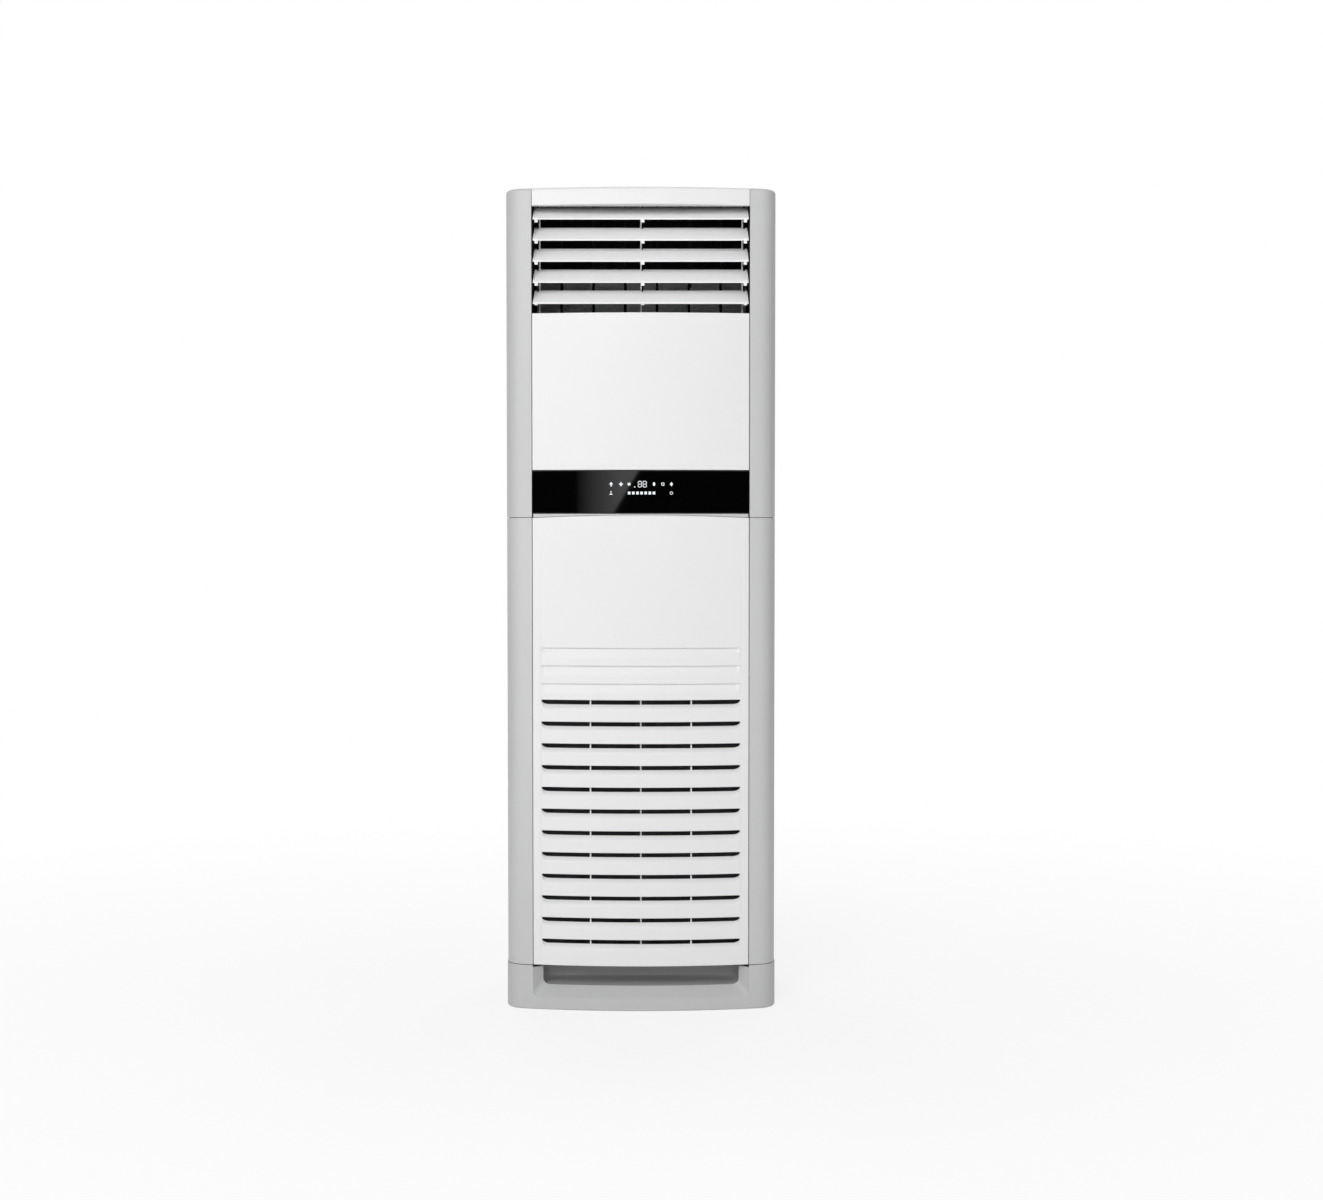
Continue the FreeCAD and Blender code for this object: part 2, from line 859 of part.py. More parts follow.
def intake_panel():
    z_crown = z_split - S.seam / 2 + S.panel_crown
    z_first = z_split - first_slot_drop
    slot_tops = [z_first - slot_step * k for k in range(SLOTS)]
    blind_tops = [z_first + blind_step * (k + 1) for k in range(BLIND_SCOOPS)]
    y0 = y_front - SPARE
    tray = moulding(
        (-x_panel, x_panel, y0, y_panel_back, z_panel, z_crown),
        (S.skin - x_panel, x_panel - S.skin, y0, y_panel_back + SPARE, z_panel + S.skin,
         z_crown - S.panel_crown - S.skin))
    crown_radius = (x_panel * x_panel + S.panel_crown * S.panel_crown) / (2 * S.panel_crown)
    crown = rod("y", crown_radius, y0, y_panel_back + SPARE, (as_dim(0), z_crown - crown_radius))
    backs = [backing_loop(z, S.scoop_depth, S.slot_opening) for z in slot_tops]
    backs += [blind_backing_loop(z, S.blind_depth) for z in blind_tops]
    backing = bowed("scoop_backs", backs, x_slot + S.skin)
    through = S.scoop_depth + 2 * S.skin
    scoops = [slot_loop(z, S.scoop_depth, S.slot_opening, through) for z in slot_tops]
    scoops += [slot_loop(z, S.blind_depth, S.slot_opening) for z in blind_tops]
    mouths = bowed("scoop_mouths", scoops, x_slot)
    extras = []
    for k in (-1, 0, 1):
        x = x_rib * k
        y_skin = bow(x)
        extras.append(box(x - S.grille_rib_wall / 2, x + S.grille_rib_wall / 2, y_skin + S.skin / 2,
                          y_skin + through, slot_tops[-1] - S.scoop_height, slot_tops[0] + S.skin))
    for side in SIDES.values():
        x = side * x_catch
        z = z_split - S.catch_drop
        extras.append(box(x - S.catch_size / 2, x + S.catch_size / 2, bow(x) + S.skin / 2, y_panel_back,
                          z - S.catch_size / 2, z + S.catch_size / 2))
        extras.append(rod("x", S.hinge_pin_radius, side * (x_panel - S.skin / 2),
                          side * (x_column + S.skin), (y_hinge, z_hinge)))
    node("intake_panel", fuse(cut(fuse(common(tray, crown), backing), mouths), *extras))


intake_panel()


# Front trim above the intake panel: display, upper panel and top bar
y_trim_back = y_front + S.beam_setback


def front_tray(label, z0, z1, y_tray_back):
    """A bowed tray between the columns, open at the back."""
    y0 = y_front - SPARE
    node(label, moulding(
        (-x_panel, x_panel, y0, y_tray_back, z0, z1),
        (S.skin - x_panel, x_panel - S.skin, y0, y_tray_back + SPARE, z0 + S.skin, z1 - S.skin)))


front_tray("display_window", z_display, z_upper_panel - S.fine_seam, y_trim_back)
front_tray("upper_panel", z_upper_panel, z_outlet, y_trim_back)


def top_bar():
    """Front and top wall over the outlet, a soffit under them, and two ribs that stand on the duct."""
    y0 = y_front - SPARE
    shell = moulding(
        (-x_panel, x_panel, y0, y_column_back, z_outlet_top, S.body_height + SPARE),
        (-half, half, y0, y_column_back + SPARE, z_outlet_top - SPARE, S.body_height))
    soffit_space = box(-x_panel, x_panel, y0, y_duct - S.seam, z_outlet_top, z_outlet_top + S.skin)
    soffit = common(outer_skin, soffit_space)
    ribs = []
    for side in SIDES.values():
        x = side * x_panel / 2
        ribs.append(box(x - S.skin / 2, x + S.skin / 2, y_duct + S.seam,
                        y_column_back - S.seam, z_outlet_top + S.duct_rise, S.body_height - S.skin / 2))
    node("top_bar", fuse(shell, soffit, *ribs))


top_bar()


# Cross beam with the electrics
z_beam = z_display - S.display_gap / 2
z_beam_top = z_beam + S.beam_height
y_beam_back = y_trim_back + S.beam_depth


def cross_beam():
    beam = Piece("beam")
    beam.box(-x_column, x_column, y_trim_back, y_beam_back, z_beam, z_beam_top)
    beam.cut_box(-x_column - SPARE, x_column + SPARE, y_trim_back + S.sheet_wall, y_beam_back + SPARE,
                 z_beam + S.sheet_wall, z_beam_top - S.sheet_wall)
    beam.done("cross_beam")


def display_board():
    """Board of the display, its front edges just behind the window."""
    x = S.display_board_width / 2
    z = z_display + S.display_height / 2
    y = bow(x) + S.skin + S.standoff
    board = Piece("board")
    board.box(-x, x, y, y + S.board_wall, z - S.display_board_height / 2, z + S.display_board_height / 2)
    chip = S.display_board_height / 5
    for k in (-2, 0, 2):
        board.box(k * chip - chip, k * chip + chip, y + S.board_wall / 2, y + 3 * S.board_wall,
                  z - chip, z + chip)
    board.done("display_board")


x_box = S.control_box_width / 2
y_box = y_trim_back + S.seam + S.sheet_wall
y_box_back = y_box + S.control_box_depth
z_box = z_beam_top
z_box_top = z_box + S.control_box_height


def control_box():
    tray = Piece("tray")
    tray.box(-x_box, x_box, y_box, y_box_back, z_box, z_box_top)
    tray.cut_box(S.sheet_wall - x_box, x_box - S.sheet_wall, y_box - SPARE, y_box_back - S.sheet_wall,
                 z_box + S.sheet_wall, z_box_top - S.sheet_wall)
    tray.done("control_box")
    cover = Piece("cover")
    cover.box(-x_box, x_box, y_box - S.sheet_wall, y_box, z_box, z_box_top)
    cover.done("control_box_cover")


def control_board():
    """Main board on the back of the control box, with relays and a filter coil on it."""
    y_board = y_box_back - S.sheet_wall - S.fine_seam
    z0 = z_box + S.control_box_height * 0.4
    board = Piece("main_board")
    board.box(-x_box * 0.85, x_box * 0.85, y_board - S.board_wall, y_board, z0,
              z_box_top - 3 * S.sheet_wall)
    relay = S.control_box_depth / 4
    for k in range(4):
        x = x_box * (-0.7 + 0.35 * k)
        board.box(x, x + relay * 1.4, y_board - relay, y_board - S.board_wall / 2, z0 + relay, z0 + 2 * relay)
    board.rod("y", relay * 0.8, y_board - 2 * relay, y_board - S.board_wall / 2,
              (x_box * 0.6, z0 + 4 * relay))
    board.box(-x_box * 0.6, -x_box * 0.1, y_board - relay / 3, y_board - S.board_wall / 2,
              z0 + 3 * relay, z0 + 5 * relay)
    board.done("control_board")


def terminal_block():
    z0 = z_box + S.sheet_wall
    y0 = y_box + S.control_box_depth * 0.3
    high = S.control_box_height * 0.12
    block = Piece("block")
    x0 = x_box * 0.1
    x1 = x_box * 0.8
    block.box(x0, x1, y0, y0 + high, z0, z0 + high)
    ways = 5
    step = (x1 - x0) / ways
    for k in range(ways):
        x = x0 + step * (k + 0.5)
        block.cut_rod("z", step * 0.3, z0 + high * 0.6, z0 + high + SPARE, (x, y0 + high / 2))
    block.done("terminal_block")


def run_capacitor():
    z0 = z_box + S.sheet_wall
    radius = S.control_box_depth * 0.3
    can = Piece("can")
    spot = (-x_box * 0.5, y_box + S.control_box_depth / 2)
    can.rod("z", radius, z0, z0 + S.control_box_height * 0.3, spot)
    for side in SIDES.values():
        can.rod("z", radius / 6, z0 + S.control_box_height * 0.3 - SPARE,
                z0 + S.control_box_height * 0.36, (spot[0] + side * radius / 2, spot[1]))
    can.done("run_capacitor")


cross_beam()
display_board()
control_box()
control_board()
terminal_block()
run_capacitor()


# Filter frame and the two lift-out filters
y_filter_frame = y_panel_back + 4
y_filter_back = y_filter_frame + S.filter_frame_depth
z_filter_frame = z_panel + 2 * S.hinge_pin_height
z_filter_top = z_filter_frame + filter_frame_height
filter_bar = S.filter_border
z_pocket = z_filter_frame + filter_bar / 2
z_pocket_top = z_filter_top - filter_bar / 2
filter_height = z_pocket_top - z_pocket - S.filter_lift - S.filter_clearance
y_filter = y_filter_frame + (S.filter_frame_depth - S.filter_thickness) / 2


def filter_span(side):
    """X of a filter pocket's inner and outer wall."""
    return filter_bar / 2, x_column - filter_bar / 2


def filter_frame():
    frame = Piece("frame")
    frame.box(-x_column, x_column, y_filter_frame, y_filter_back, z_filter_frame, z_filter_top)
    for side in SIDES.values():
        x0, x1 = filter_span(side)
        frame.cut_box(*mirrored_box(
            side, x0, x1, y_filter - S.filter_clearance, y_filter + S.filter_thickness + S.filter_clearance,
            z_pocket, z_pocket_top))
        frame.cut_box(*mirrored_box(
            side, x0 + filter_bar / 2, x1 - filter_bar / 2, y_filter_frame - SPARE, y_filter_back + SPARE,
            z_pocket + filter_bar, z_pocket_top - filter_bar - S.filter_lift))
    frame.done("filter_frame")


def air_filter(label, side):
    """A rimmed net with cross bars, standing in the frame's lower channel."""
    x0, x1 = filter_span(side)
    x0 = x0 + S.filter_clearance
    x1 = x1 - S.filter_clearance
    z0 = z_pocket + S.standoff
    z1 = z0 + filter_height
    y1 = y_filter + S.filter_thickness
    net = Piece("net")
    net.box(*mirrored_box(side, x0, x1, y_filter, y1, z0, z1))
    bars = 5
    cell = (z1 - z0 - S.filter_border) / bars
    for k in range(bars):
        low = z0 + S.filter_border + cell * k
        high = low + cell - S.filter_border
        inner = (x0 + S.filter_border, x1 - S.filter_border)
        y_net = y_filter + S.filter_thickness / 2
        net.cut_box(*mirrored_box(side, *inner, y_filter - SPARE, y_net - S.filter_mesh_wall / 2, low, high))
        net.cut_box(*mirrored_box(side, *inner, y_net + S.filter_mesh_wall / 2, y1 + SPARE, low, high))
    net.done(label)


filter_frame()
for name, side in SIDES.items():
    air_filter(f"filter_{name}", side)


# Shelf and front baffle between the blower and the coil
y_baffle = y_filter_back + 2
y_shelf = y_baffle + S.sheet_wall
y_scroll = y_front + S.scroll_setback
scroll_depth = wheel_width + 2 * S.scroll_side_gap + 2 * S.scroll_wall
y_scroll_back = y_scroll + scroll_depth
x_wheel = -wheel_offset
scroll_start = wheel_radius + scroll_growth / 2 + S.scroll_cutoff_gap
x_scroll_cutoff = x_wheel - scroll_growth / 2
x_scroll_right = x_wheel + scroll_growth / 2 + scroll_start + 2 * scroll_growth
x_pipe = half - S.pipe_side_gap


def coil_centre_y(height):
    """Y of the coil's middle plane at a height above its foot."""
    return y_coil + height * sine(coil_lean)


coil_heel = (S.coil_thickness / 2 + S.coil_plate_margin) * sine(coil_lean)
coil_heel = coil_heel + S.coil_plate_margin * cosine(coil_lean)
z_coil = z_shelf + 2 * S.sheet_wall + coil_heel + S.standoff
y_coil = y_shelf + S.sheet_wall + S.coil_thickness / 2 + 2 * S.coil_plate_margin
gas_height = S.coil_height * 0.08
liquid_height = S.coil_height * 0.2
y_gas = coil_centre_y(gas_height)
y_liquid = coil_centre_y(liquid_height)


def shelf():
    z1 = z_shelf + S.sheet_wall
    y_wide = y_column_back + S.sheet_wall
    plate = Piece("plate")
    plate.box(-x_column, x_column, y_shelf, y_inside_back, z_shelf, z1)
    plate.box(S.sheet_wall - half, half - S.sheet_wall, y_wide, y_inside_back - S.sheet_wall,
              z_shelf, z1)
    plate.cut_box(x_scroll_cutoff, x_scroll_right - S.scroll_wall, y_scroll + S.scroll_wall,
                  y_scroll_back - S.scroll_wall, z_shelf - SPARE, z1 + SPARE)
    room = S.liquid_pipe_radius + 2 * S.seam
    plate.cut_rod("z", room, z_shelf - SPARE, z1 + SPARE, (x_pipe, y_liquid))
    plate.done("shelf")
    baffle = Piece("baffle_sheet")
    baffle.box(-x_column, x_column, y_baffle, y_shelf, z_shelf, z_beam)
    baffle.done("front_baffle")


def panel_catches():
    """Catch blocks on the baffle that the intake panel's posts close against."""
    z = z_split - S.catch_drop
    blocks = []
    for side in SIDES.values():
        x = side * x_catch
        blocks.append(box(x - S.catch_size, x + S.catch_size, y_panel_back + S.standoff, y_baffle,
                          z - S.catch_size, z + S.catch_size))
    node("panel_catches", group(*blocks))


def drain_pan():
    x = x_drain_pan
    z0 = z_shelf + S.sheet_wall
    y1 = y_shelf + 2 * S.sheet_wall + S.drain_pan_depth
    pan = Piece("trough")
    pan.box(-x, x, y_shelf, y1, z0, z0 + S.drain_pan_height)
    pan.cut_box(S.sheet_wall - x, x - S.sheet_wall, y_shelf + S.sheet_wall, y1 - S.sheet_wall,
                z0 + S.sheet_wall, z0 + S.drain_pan_height + SPARE)
    pan.done("drain_pan")


shelf()
panel_catches()
drain_pan()


# Blower: scroll, inlet ring, wheel, shaft, motor and bracket
def scroll_outline(inset):
    """Three growing quarter arcs round the wheel, then straight walls up to the shelf."""
    step = scroll_growth / 2
    first = scroll_start - inset
    second = first + scroll_growth
    third = second + scroll_growth
    left = x_wheel - step
    right = x_wheel + step
    low = z_wheel - step
    high = z_wheel + step
    top = z_shelf + (SPARE if inset.number > 0 else 0)
    cutoff = left + inset
    return [
        (left, low + first, first, 1),
        (left - first, low, second, 1),
        (right, low - second, third, 1),
        (right + third, high),
        (right + third, top),
        (cutoff, top),
        (cutoff, low + first),
    ] if inset.number > 0 else [
        (left, low + first, first, 1),
        (left - first, low, second, 1),
        (right, low - second, third, 1),
        (right + third, high),
        (right + third, top),
        (left, top),
    ]


def scroll_housing():
    shell = Piece("scroll_shell")
    shell.pad("XZ_Plane", [scroll_outline(as_dim(0))], scroll_depth, -y_scroll, Reversed=True)
    sketch = shell.sketch("XZ_Plane", [scroll_outline(S.scroll_wall)], -(y_scroll + S.scroll_wall))
    shell.feature("Pocket", sketch, {"Length": scroll_depth - 2 * S.scroll_wall})
    shell.cut_rod("y", inlet_radius + S.scroll_side_gap + S.seam, y_scroll - SPARE,
                  y_scroll + S.scroll_wall + SPARE, (x_wheel, z_wheel))
    shell.cut_rod("y", S.motor_radius + S.motor_gap / 2, y_scroll_back - S.scroll_wall - SPARE,
                  y_scroll_back + SPARE, (x_wheel, z_wheel))
    shell.done("scroll_housing")


def inlet_ring():
    """Bell mouth on the scroll's front plate that leads into the wheel's eye."""
    y_throat = S.scroll_side_gap + S.scroll_wall * 2
    mouth = S.scroll_side_gap
    ring = Piece("bell")
    curl = mouth - S.scroll_wall
    ring.revolve("XY_Plane", [[
        (inlet_radius, curl),
        (inlet_radius, y_throat),
        (inlet_radius + S.scroll_wall, y_throat),
        (inlet_radius + S.scroll_wall, curl, curl, 1),
        (inlet_radius + mouth, as_dim(0)),
        (inlet_radius + S.inlet_flange_width, as_dim(0)),
        (inlet_radius + S.inlet_flange_width, -S.scroll_wall),
        (inlet_radius + mouth, -S.scroll_wall, mouth, -1),
    ]], "V_Axis")
    ring.put(x_wheel, y_scroll, z_wheel)
    ring.done("inlet_ring")


y_wheel = y_scroll + S.scroll_wall + S.scroll_side_gap
y_wheel_back = y_wheel + wheel_width


def blower_wheel():
    """Forward curved wheel: back plate with hub, ring of blades and front hoop."""
    wheel = Piece("wheel")
    bore = S.shaft_radius
    width = wheel_width
    wheel.revolve("XY_Plane", [[
        (bore, width),
        (wheel_radius, width),
        (wheel_radius, width - S.wheel_plate_wall),
        (S.wheel_hub_radius, width - S.wheel_plate_wall),
        (S.wheel_hub_radius, width - S.wheel_hub_length),
        (bore, width - S.wheel_hub_length),
    ]], "V_Axis")
    middle = (wheel_radius + eye_radius) / 2
    deep = (wheel_radius - eye_radius) / 2
    lean = deep * 0.6
    bend = deep * 1.5
    wall = S.wheel_blade_wall
    blade = wheel.pad("XZ_Plane", [[
        (middle - deep, as_dim(0), bend, 1),
        (middle + deep - wall / 2, lean),
        (middle + deep - wall / 2, lean + wall, bend, -1),
        (middle - deep, wall),
    ]], width, Reversed=True)
    wheel.polar(blade, "Y_Axis", WHEEL_BLADES)
    wheel.revolve("XY_Plane", [[
        (middle, as_dim(0)),
        (wheel_radius, as_dim(0)),
        (wheel_radius, S.wheel_plate_wall),
        (middle, S.wheel_plate_wall),
    ]], "V_Axis")
    wheel.put(x_wheel, y_wheel, z_wheel)
    wheel.done("blower_wheel")


y_motor = y_wheel_back + S.motor_gap
y_motor_back = y_motor + S.motor_length


def motor_parts():
    spot = (x_wheel, z_wheel)
    shaft = Piece("spindle")
    shaft.rod("y", S.shaft_radius, y_wheel_back - S.wheel_hub_length - S.motor_gap / 2,
              y_motor_back - S.motor_gap, spot)
    shaft.done("motor_shaft")
    step = S.motor_length * 0.15
    shoulder = S.motor_radius * 0.8
    bore = S.shaft_radius + S.shaft_clearance
    blind = S.motor_length - S.motor_gap + S.shaft_clearance
    can = Piece("motor_can")
    can.revolve("XY_Plane", [[
        (bore, as_dim(0)),
        (shoulder, as_dim(0)),
        (S.motor_radius, step),
        (S.motor_radius, S.motor_length - step),
        (shoulder, S.motor_length),
        (as_dim(0), S.motor_length),
        (as_dim(0), blind),
        (bore, blind),
    ]], "V_Axis")
    can.put(x_wheel, y_motor, z_wheel)
    can.done("blower_motor")


def motor_bracket():
    """Hat section between the motor's back and the rear sheet."""
    x = S.bracket_half_width
    z0 = z_wheel - S.bracket_half_height
    z1 = z_wheel + S.bracket_half_height
    wall = 2 * S.sheet_wall
    foot = S.flange_width
    hat = Piece("hat")
    hat.box(x_wheel - x, x_wheel + x, y_motor_back, y_motor_back + wall, z0, z1)
    for side in SIDES.values():
        edge = x_wheel + side * x
        inner = x_wheel + side * (x - wall)
        outer = x_wheel + side * (x + foot)
        hat.box(*in_order(inner, edge), y_motor_back, y_inside_back, z0, z1)
        hat.box(*in_order(inner, outer), y_inside_back - wall, y_inside_back, z0, z1)
    hat.done("motor_bracket")


scroll_housing()
inlet_ring()
blower_wheel()
motor_parts()
motor_bracket()


# Coil: fin pack, tube plates and return bends, all in the coil's own leaning frame
def lean_with_coil(piece):
    piece.put(as_dim(0), y_coil, z_coil, V(-1, 0, 0), coil_lean)


def coil():
    x = x_coil
    deep = S.coil_thickness / 2
    fins = Piece("fins")
    fins.box(-x, x, -deep, deep, as_dim(0), S.coil_height)
    lean_with_coil(fins)
    fins.done("coil_fins")
    margin = S.coil_plate_margin
    plates = []
    for side in SIDES.values():
        plate = Piece("tube_plate")
        plate.box(*mirrored_box(side, x, x + S.sheet_wall, -deep - margin, deep + margin, -margin,
                                S.coil_height + margin))
        lean_with_coil(plate)
        plates.append(plate.body)
    node("coil_plates", group(*plates))


def coil_bends():
    """Half rings of copper tube that join neighbouring tubes outside both plates."""
    x = x_coil + S.sheet_wall
    turn = S.coil_tube_pitch / 2
    first = S.coil_height * 0.3
    room = S.coil_height * 0.96 - first
    pairs = COIL_ROWS // 2
    bends = []
    for side in SIDES.values():
        for column_index in range(COIL_COLUMNS):
            deep = (column_index - (COIL_COLUMNS - 1) / 2) * S.coil_thickness / 2
            for pair in range(pairs):
                high = first + room * ((pair + 0.5) / pairs)
                ring = Part.makeTorus(turn.number, S.coil_tube_radius.number)
                ring.rotate(V(0, 0, 0), V(1, 0, 0), 90)
                reach = turn.number * 2
                keep = Part.makeBox(reach, reach, reach * 2, V(0 if side > 0 else -reach, -reach / 2, -reach))
                bend = ring.common(keep).Solids[0]
                bend.translate(V(side * x.number, deep.number, high.number))
                bends.append(bend)
    made = doc.addObject("Part::Feature", "bends")
    made.Shape = Part.makeCompound(bends)
    place(made, as_dim(0), y_coil, z_coil, FreeCAD.Rotation(V(-1, 0, 0), coil_lean.number))
    bind(made, {"Placement.Rotation.Angle": coil_lean})
    node("coil_bends", made)


def pipe(label, radius, corners):
    """A round pipe along straight runs with equal bends between them."""
    points = [V(*[as_dim(value).number for value in corner]) for corner in corners]
    bend = S.pipe_bend_radius.number
    edges = []
    start = points[0]
    for before, corner, after in zip(points, points[1:], points[2:]):
        incoming = (before - corner).normalize()
        outgoing = (after - corner).normalize()
        turn = math.pi - incoming.getAngle(outgoing)
        trim = bend * math.tan(turn / 2)
        first = corner + incoming * trim
        last = corner + outgoing * trim
        inward = (incoming + outgoing).normalize()
        middle = corner + inward * (bend / math.cos(turn / 2) - bend)
        edges.append(Part.LineSegment(start, first).toShape())
        edges.append(Part.Arc(first, middle, last).toShape())
        start = last
    edges.append(Part.LineSegment(start, points[-1]).toShape())
    path = Part.Wire(edges)
    ring = Part.Wire(Part.Circle(points[0], points[1] - points[0], radius.number).toShape())
    made = doc.addObject("Part::Feature", label)
    made.Shape = path.makePipeShell([ring], True, False)
    return node(label, made)


def pipes():
    """Gas and liquid pipes from the coil's right plate down to their nuts at the rear exit."""
    x_plate = x_coil + S.sheet_wall
    y_end = y_inside_back - 2 * S.pipe_exit_radius
    apart = S.pipe_exit_radius / 2
    nuts = []
    for label, radius, y, height, offset in (
            ("gas_pipe", S.gas_pipe_radius, y_gas, gas_height, -apart),
            ("liquid_pipe", S.liquid_pipe_radius, y_liquid, liquid_height, apart)):
        z_leave = z_coil + height * cosine(coil_lean)
        x_exit = x_pipe_exit + offset * 0.6
        z_exit = S.pipe_exit_height - offset * 0.6
        pipe(label, radius, [
            (x_plate + S.standoff, y, z_leave),
            (x_pipe, y, z_leave),
            (x_pipe, y, z_exit + 3 * S.pipe_bend_radius),
            (x_exit, y, z_exit),
            (x_exit, y_end, z_exit),
        ])
        nut = Piece("flare_nut")
        hexagon = radius * 1.8
        side = hexagon / 2
        tall = side * math.sqrt(3)
        nut.pad("XZ_Plane", [[
            (x_exit + hexagon, z_exit), (x_exit + side, z_exit + tall), (x_exit - side, z_exit + tall),
            (x_exit - hexagon, z_exit), (x_exit - side, z_exit - tall), (x_exit + side, z_exit - tall),
        ]], 2.5 * radius, -y_end, Reversed=True)
        nuts.append(nut.body)
    node("flare_nuts", group(*nuts))


coil()
coil_bends()
pipes()


# Foam on the rear sheet behind the coil, and the rear grommets
def rear_liner():
    x = half - S.flange_width - S.seam
    foam = Piece("foam")
    foam.box(-x, x, y_inside_back - S.liner_wall, y_inside_back, z_shelf + S.sheet_wall,
             z_lid - S.flange_width)
    for side in SIDES.values():
        spot = (side * x_wall_hole, z_lid - S.wall_hole_drop)
        foam.cut_rod("y", 3 * S.wall_hole_radius, y_inside_back - S.liner_wall - SPARE,
                     y_inside_back + SPARE, spot)
    foam.done("rear_liner")


def grommet(label, radius, x):
    """A rubber ring seated in a hole of the rear sheet, lipped on both faces."""
    lip = S.screw_head_height * 0.9
    wide = radius + S.grommet_flange
    ring = Piece("ring")
    ring.revolve("XY_Plane", [[
        (radius - S.grommet_wall, -lip),
        (wide, -lip),
        (wide, as_dim(0)),
        (radius, as_dim(0)),
        (radius, S.sheet_wall),
        (wide, S.sheet_wall),
        (wide, S.sheet_wall + lip),
        (radius - S.grommet_wall, S.sheet_wall + lip),
    ]], "V_Axis")
    ring.put(x, y_inside_back, S.pipe_exit_height)
    ring.done(label)


rear_liner()
grommet("pipe_grommet", S.pipe_exit_radius, x_pipe_exit)
grommet("cable_grommet", S.cable_exit_radius, x_cable_exit)


# Outlet: duct, pivot strips, tilting blades, swinging vanes and their links
y_duct_back = y_duct + S.duct_depth
z_duct = z_outlet
z_duct_top = z_outlet_top + S.duct_rise
z_duct_floor = z_duct + S.duct_wall
z_duct_ceiling = z_duct_top - S.duct_wall
x_duct_inside = x_column - S.duct_wall
blade_reach = S.blade_chord + S.blade_arm
y_pivot = y_front + S.blade_front_setback + blade_reach * cosine(S.blade_tilt)
z_first_pivot = z_outlet + S.lowest_blade_rise + blade_reach * sine(S.blade_tilt)
y_vane = y_front + S.vane_setback


def vane_x(index):
    return vane_step * (index - (VANES + 1) / 2)


def pivot_height(index):
    return z_first_pivot + S.blade_pitch * (index - 1)


def outlet_duct():
    """Four flat walls round the air stream, the floor and ceiling bored for the vanes' spindles."""
    walls = []
    for z0, z1 in ((z_duct, z_duct_floor), (z_duct_ceiling, z_duct_top)):
        holes = [rod("z", S.vane_spindle_radius + S.pivot_clearance, z0 - SPARE, z1 + SPARE,
                     (vane_x(index), y_vane)) for index in range(1, VANES + 1)]
        walls.append(cut(box(-x_column, x_column, y_duct, y_duct_back, z0, z1), *holes))
    for side in SIDES.values():
        walls.append(box(*mirrored_box(
            side, x_duct_inside, x_column, y_duct, y_duct_back, z_duct_floor, z_duct_ceiling)))
    node("outlet_duct", group(*walls))


def pivot_strips():
    """Three upright strips that carry the blades' pins."""
    strips = []
    for k in (-1, 0, 1):
        x = x_strip * k
        holes = [rod("x", S.blade_pin_radius + S.pivot_clearance, x - S.strip_wall, x + S.strip_wall,
                     (y_pivot, pivot_height(index))) for index in range(1, LOUVERS + 1)]
        strip = box(x - S.strip_wall / 2, x + S.strip_wall / 2, y_pivot - S.strip_front,
                    y_pivot + S.strip_rear, z_duct_floor, z_duct_ceiling)
        strips.append(cut(strip, *holes))
    node("pivot_strips", group(*strips))


def louver(index):
    """A cambered blade in front of its pins, with lugs beside the strips and a crank for the link.

    Its own frame has the pivot at the origin and the blade lying flat towards -Y.
    """
    rear = -S.blade_arm
    front = -blade_reach
    thick = S.blade_wall
    camber = S.blade_camber
    span = S.blade_chord
    upper = (span * span / 4 + camber * camber) / (2 * camber)
    x_front = x_duct_inside - S.blade_end_gap
    x_rear = x_front - S.blade_end_taper
    blade = Piece("blade")
    blade.pad("YZ_Plane", [[
        (front, as_dim(0), upper, -1),
        (rear, as_dim(0)),
        (rear, -thick, upper, 1),
        (front, -thick, thick * 0.6, -1),
    ]], 2 * x_front, SideType="Symmetric")
    ends = []
    for side in SIDES.values():
        ends.append([
            (side * x_front, front), (side * (x_front + SPARE), front),
            (side * (x_front + SPARE), rear + SPARE), (side * x_rear, rear + SPARE), (side * x_rear, rear)])
    blade.pocket_through("XY_Plane", ends)
    gap = S.strip_wall / 2 + S.standoff
    for x, side in ((-x_strip, -1), (as_dim(0), 1), (x_strip, 1)):
        near = x + side * gap
        far = near + side * S.lug_wall
        blade.box(*in_order(near, far), rear - S.lug_radius, as_dim(0), -thick, thick)
        blade.rod("x", S.lug_radius, near, far, (as_dim(0), as_dim(0)))
        blade.rod("x", S.blade_pin_radius, x - side * S.strip_wall / 2, far, (as_dim(0), as_dim(0)))
    arm = x_link
    blade.box(arm, arm + S.lug_wall, rear - S.lug_radius, S.blade_crank, -thick, thick)
    blade.rod("x", S.link_half_width, arm, arm + S.lug_wall, (S.blade_crank, as_dim(0)))
    blade.rod("x", S.vane_pin_radius, arm - S.link_wall - S.standoff, arm, (S.blade_crank, as_dim(0)))
    blade.put(as_dim(0), y_pivot, pivot_height(index), V(1, 0, 0), S.blade_tilt)
    blade.done(f"louver_{index}")


def louver_link():
    """Upright bar on the cranks of all the blades."""
    y = y_pivot + S.blade_crank * cosine(S.blade_tilt)
    drop = S.blade_crank * sine(S.blade_tilt)
    x1 = x_link - S.standoff
    x0 = x1 - S.link_wall
    bar = Piece("bar")
    bar.box(x0, x1, y - S.link_half_width, y + S.link_half_width,
            pivot_height(1) + drop - S.link_half_width, pivot_height(LOUVERS) + drop + S.link_half_width)
    for index in range(1, LOUVERS + 1):
        bar.cut_rod("x", S.vane_pin_radius + S.pivot_clearance, x0 - SPARE, x1 + SPARE,
                    (y, pivot_height(index) + drop))
    bar.done("louver_link")


z_vane = z_duct_floor + S.vane_end_gap
z_vane_top = z_duct_ceiling - S.vane_end_gap
z_vane_link = z_vane_top + S.fine_seam


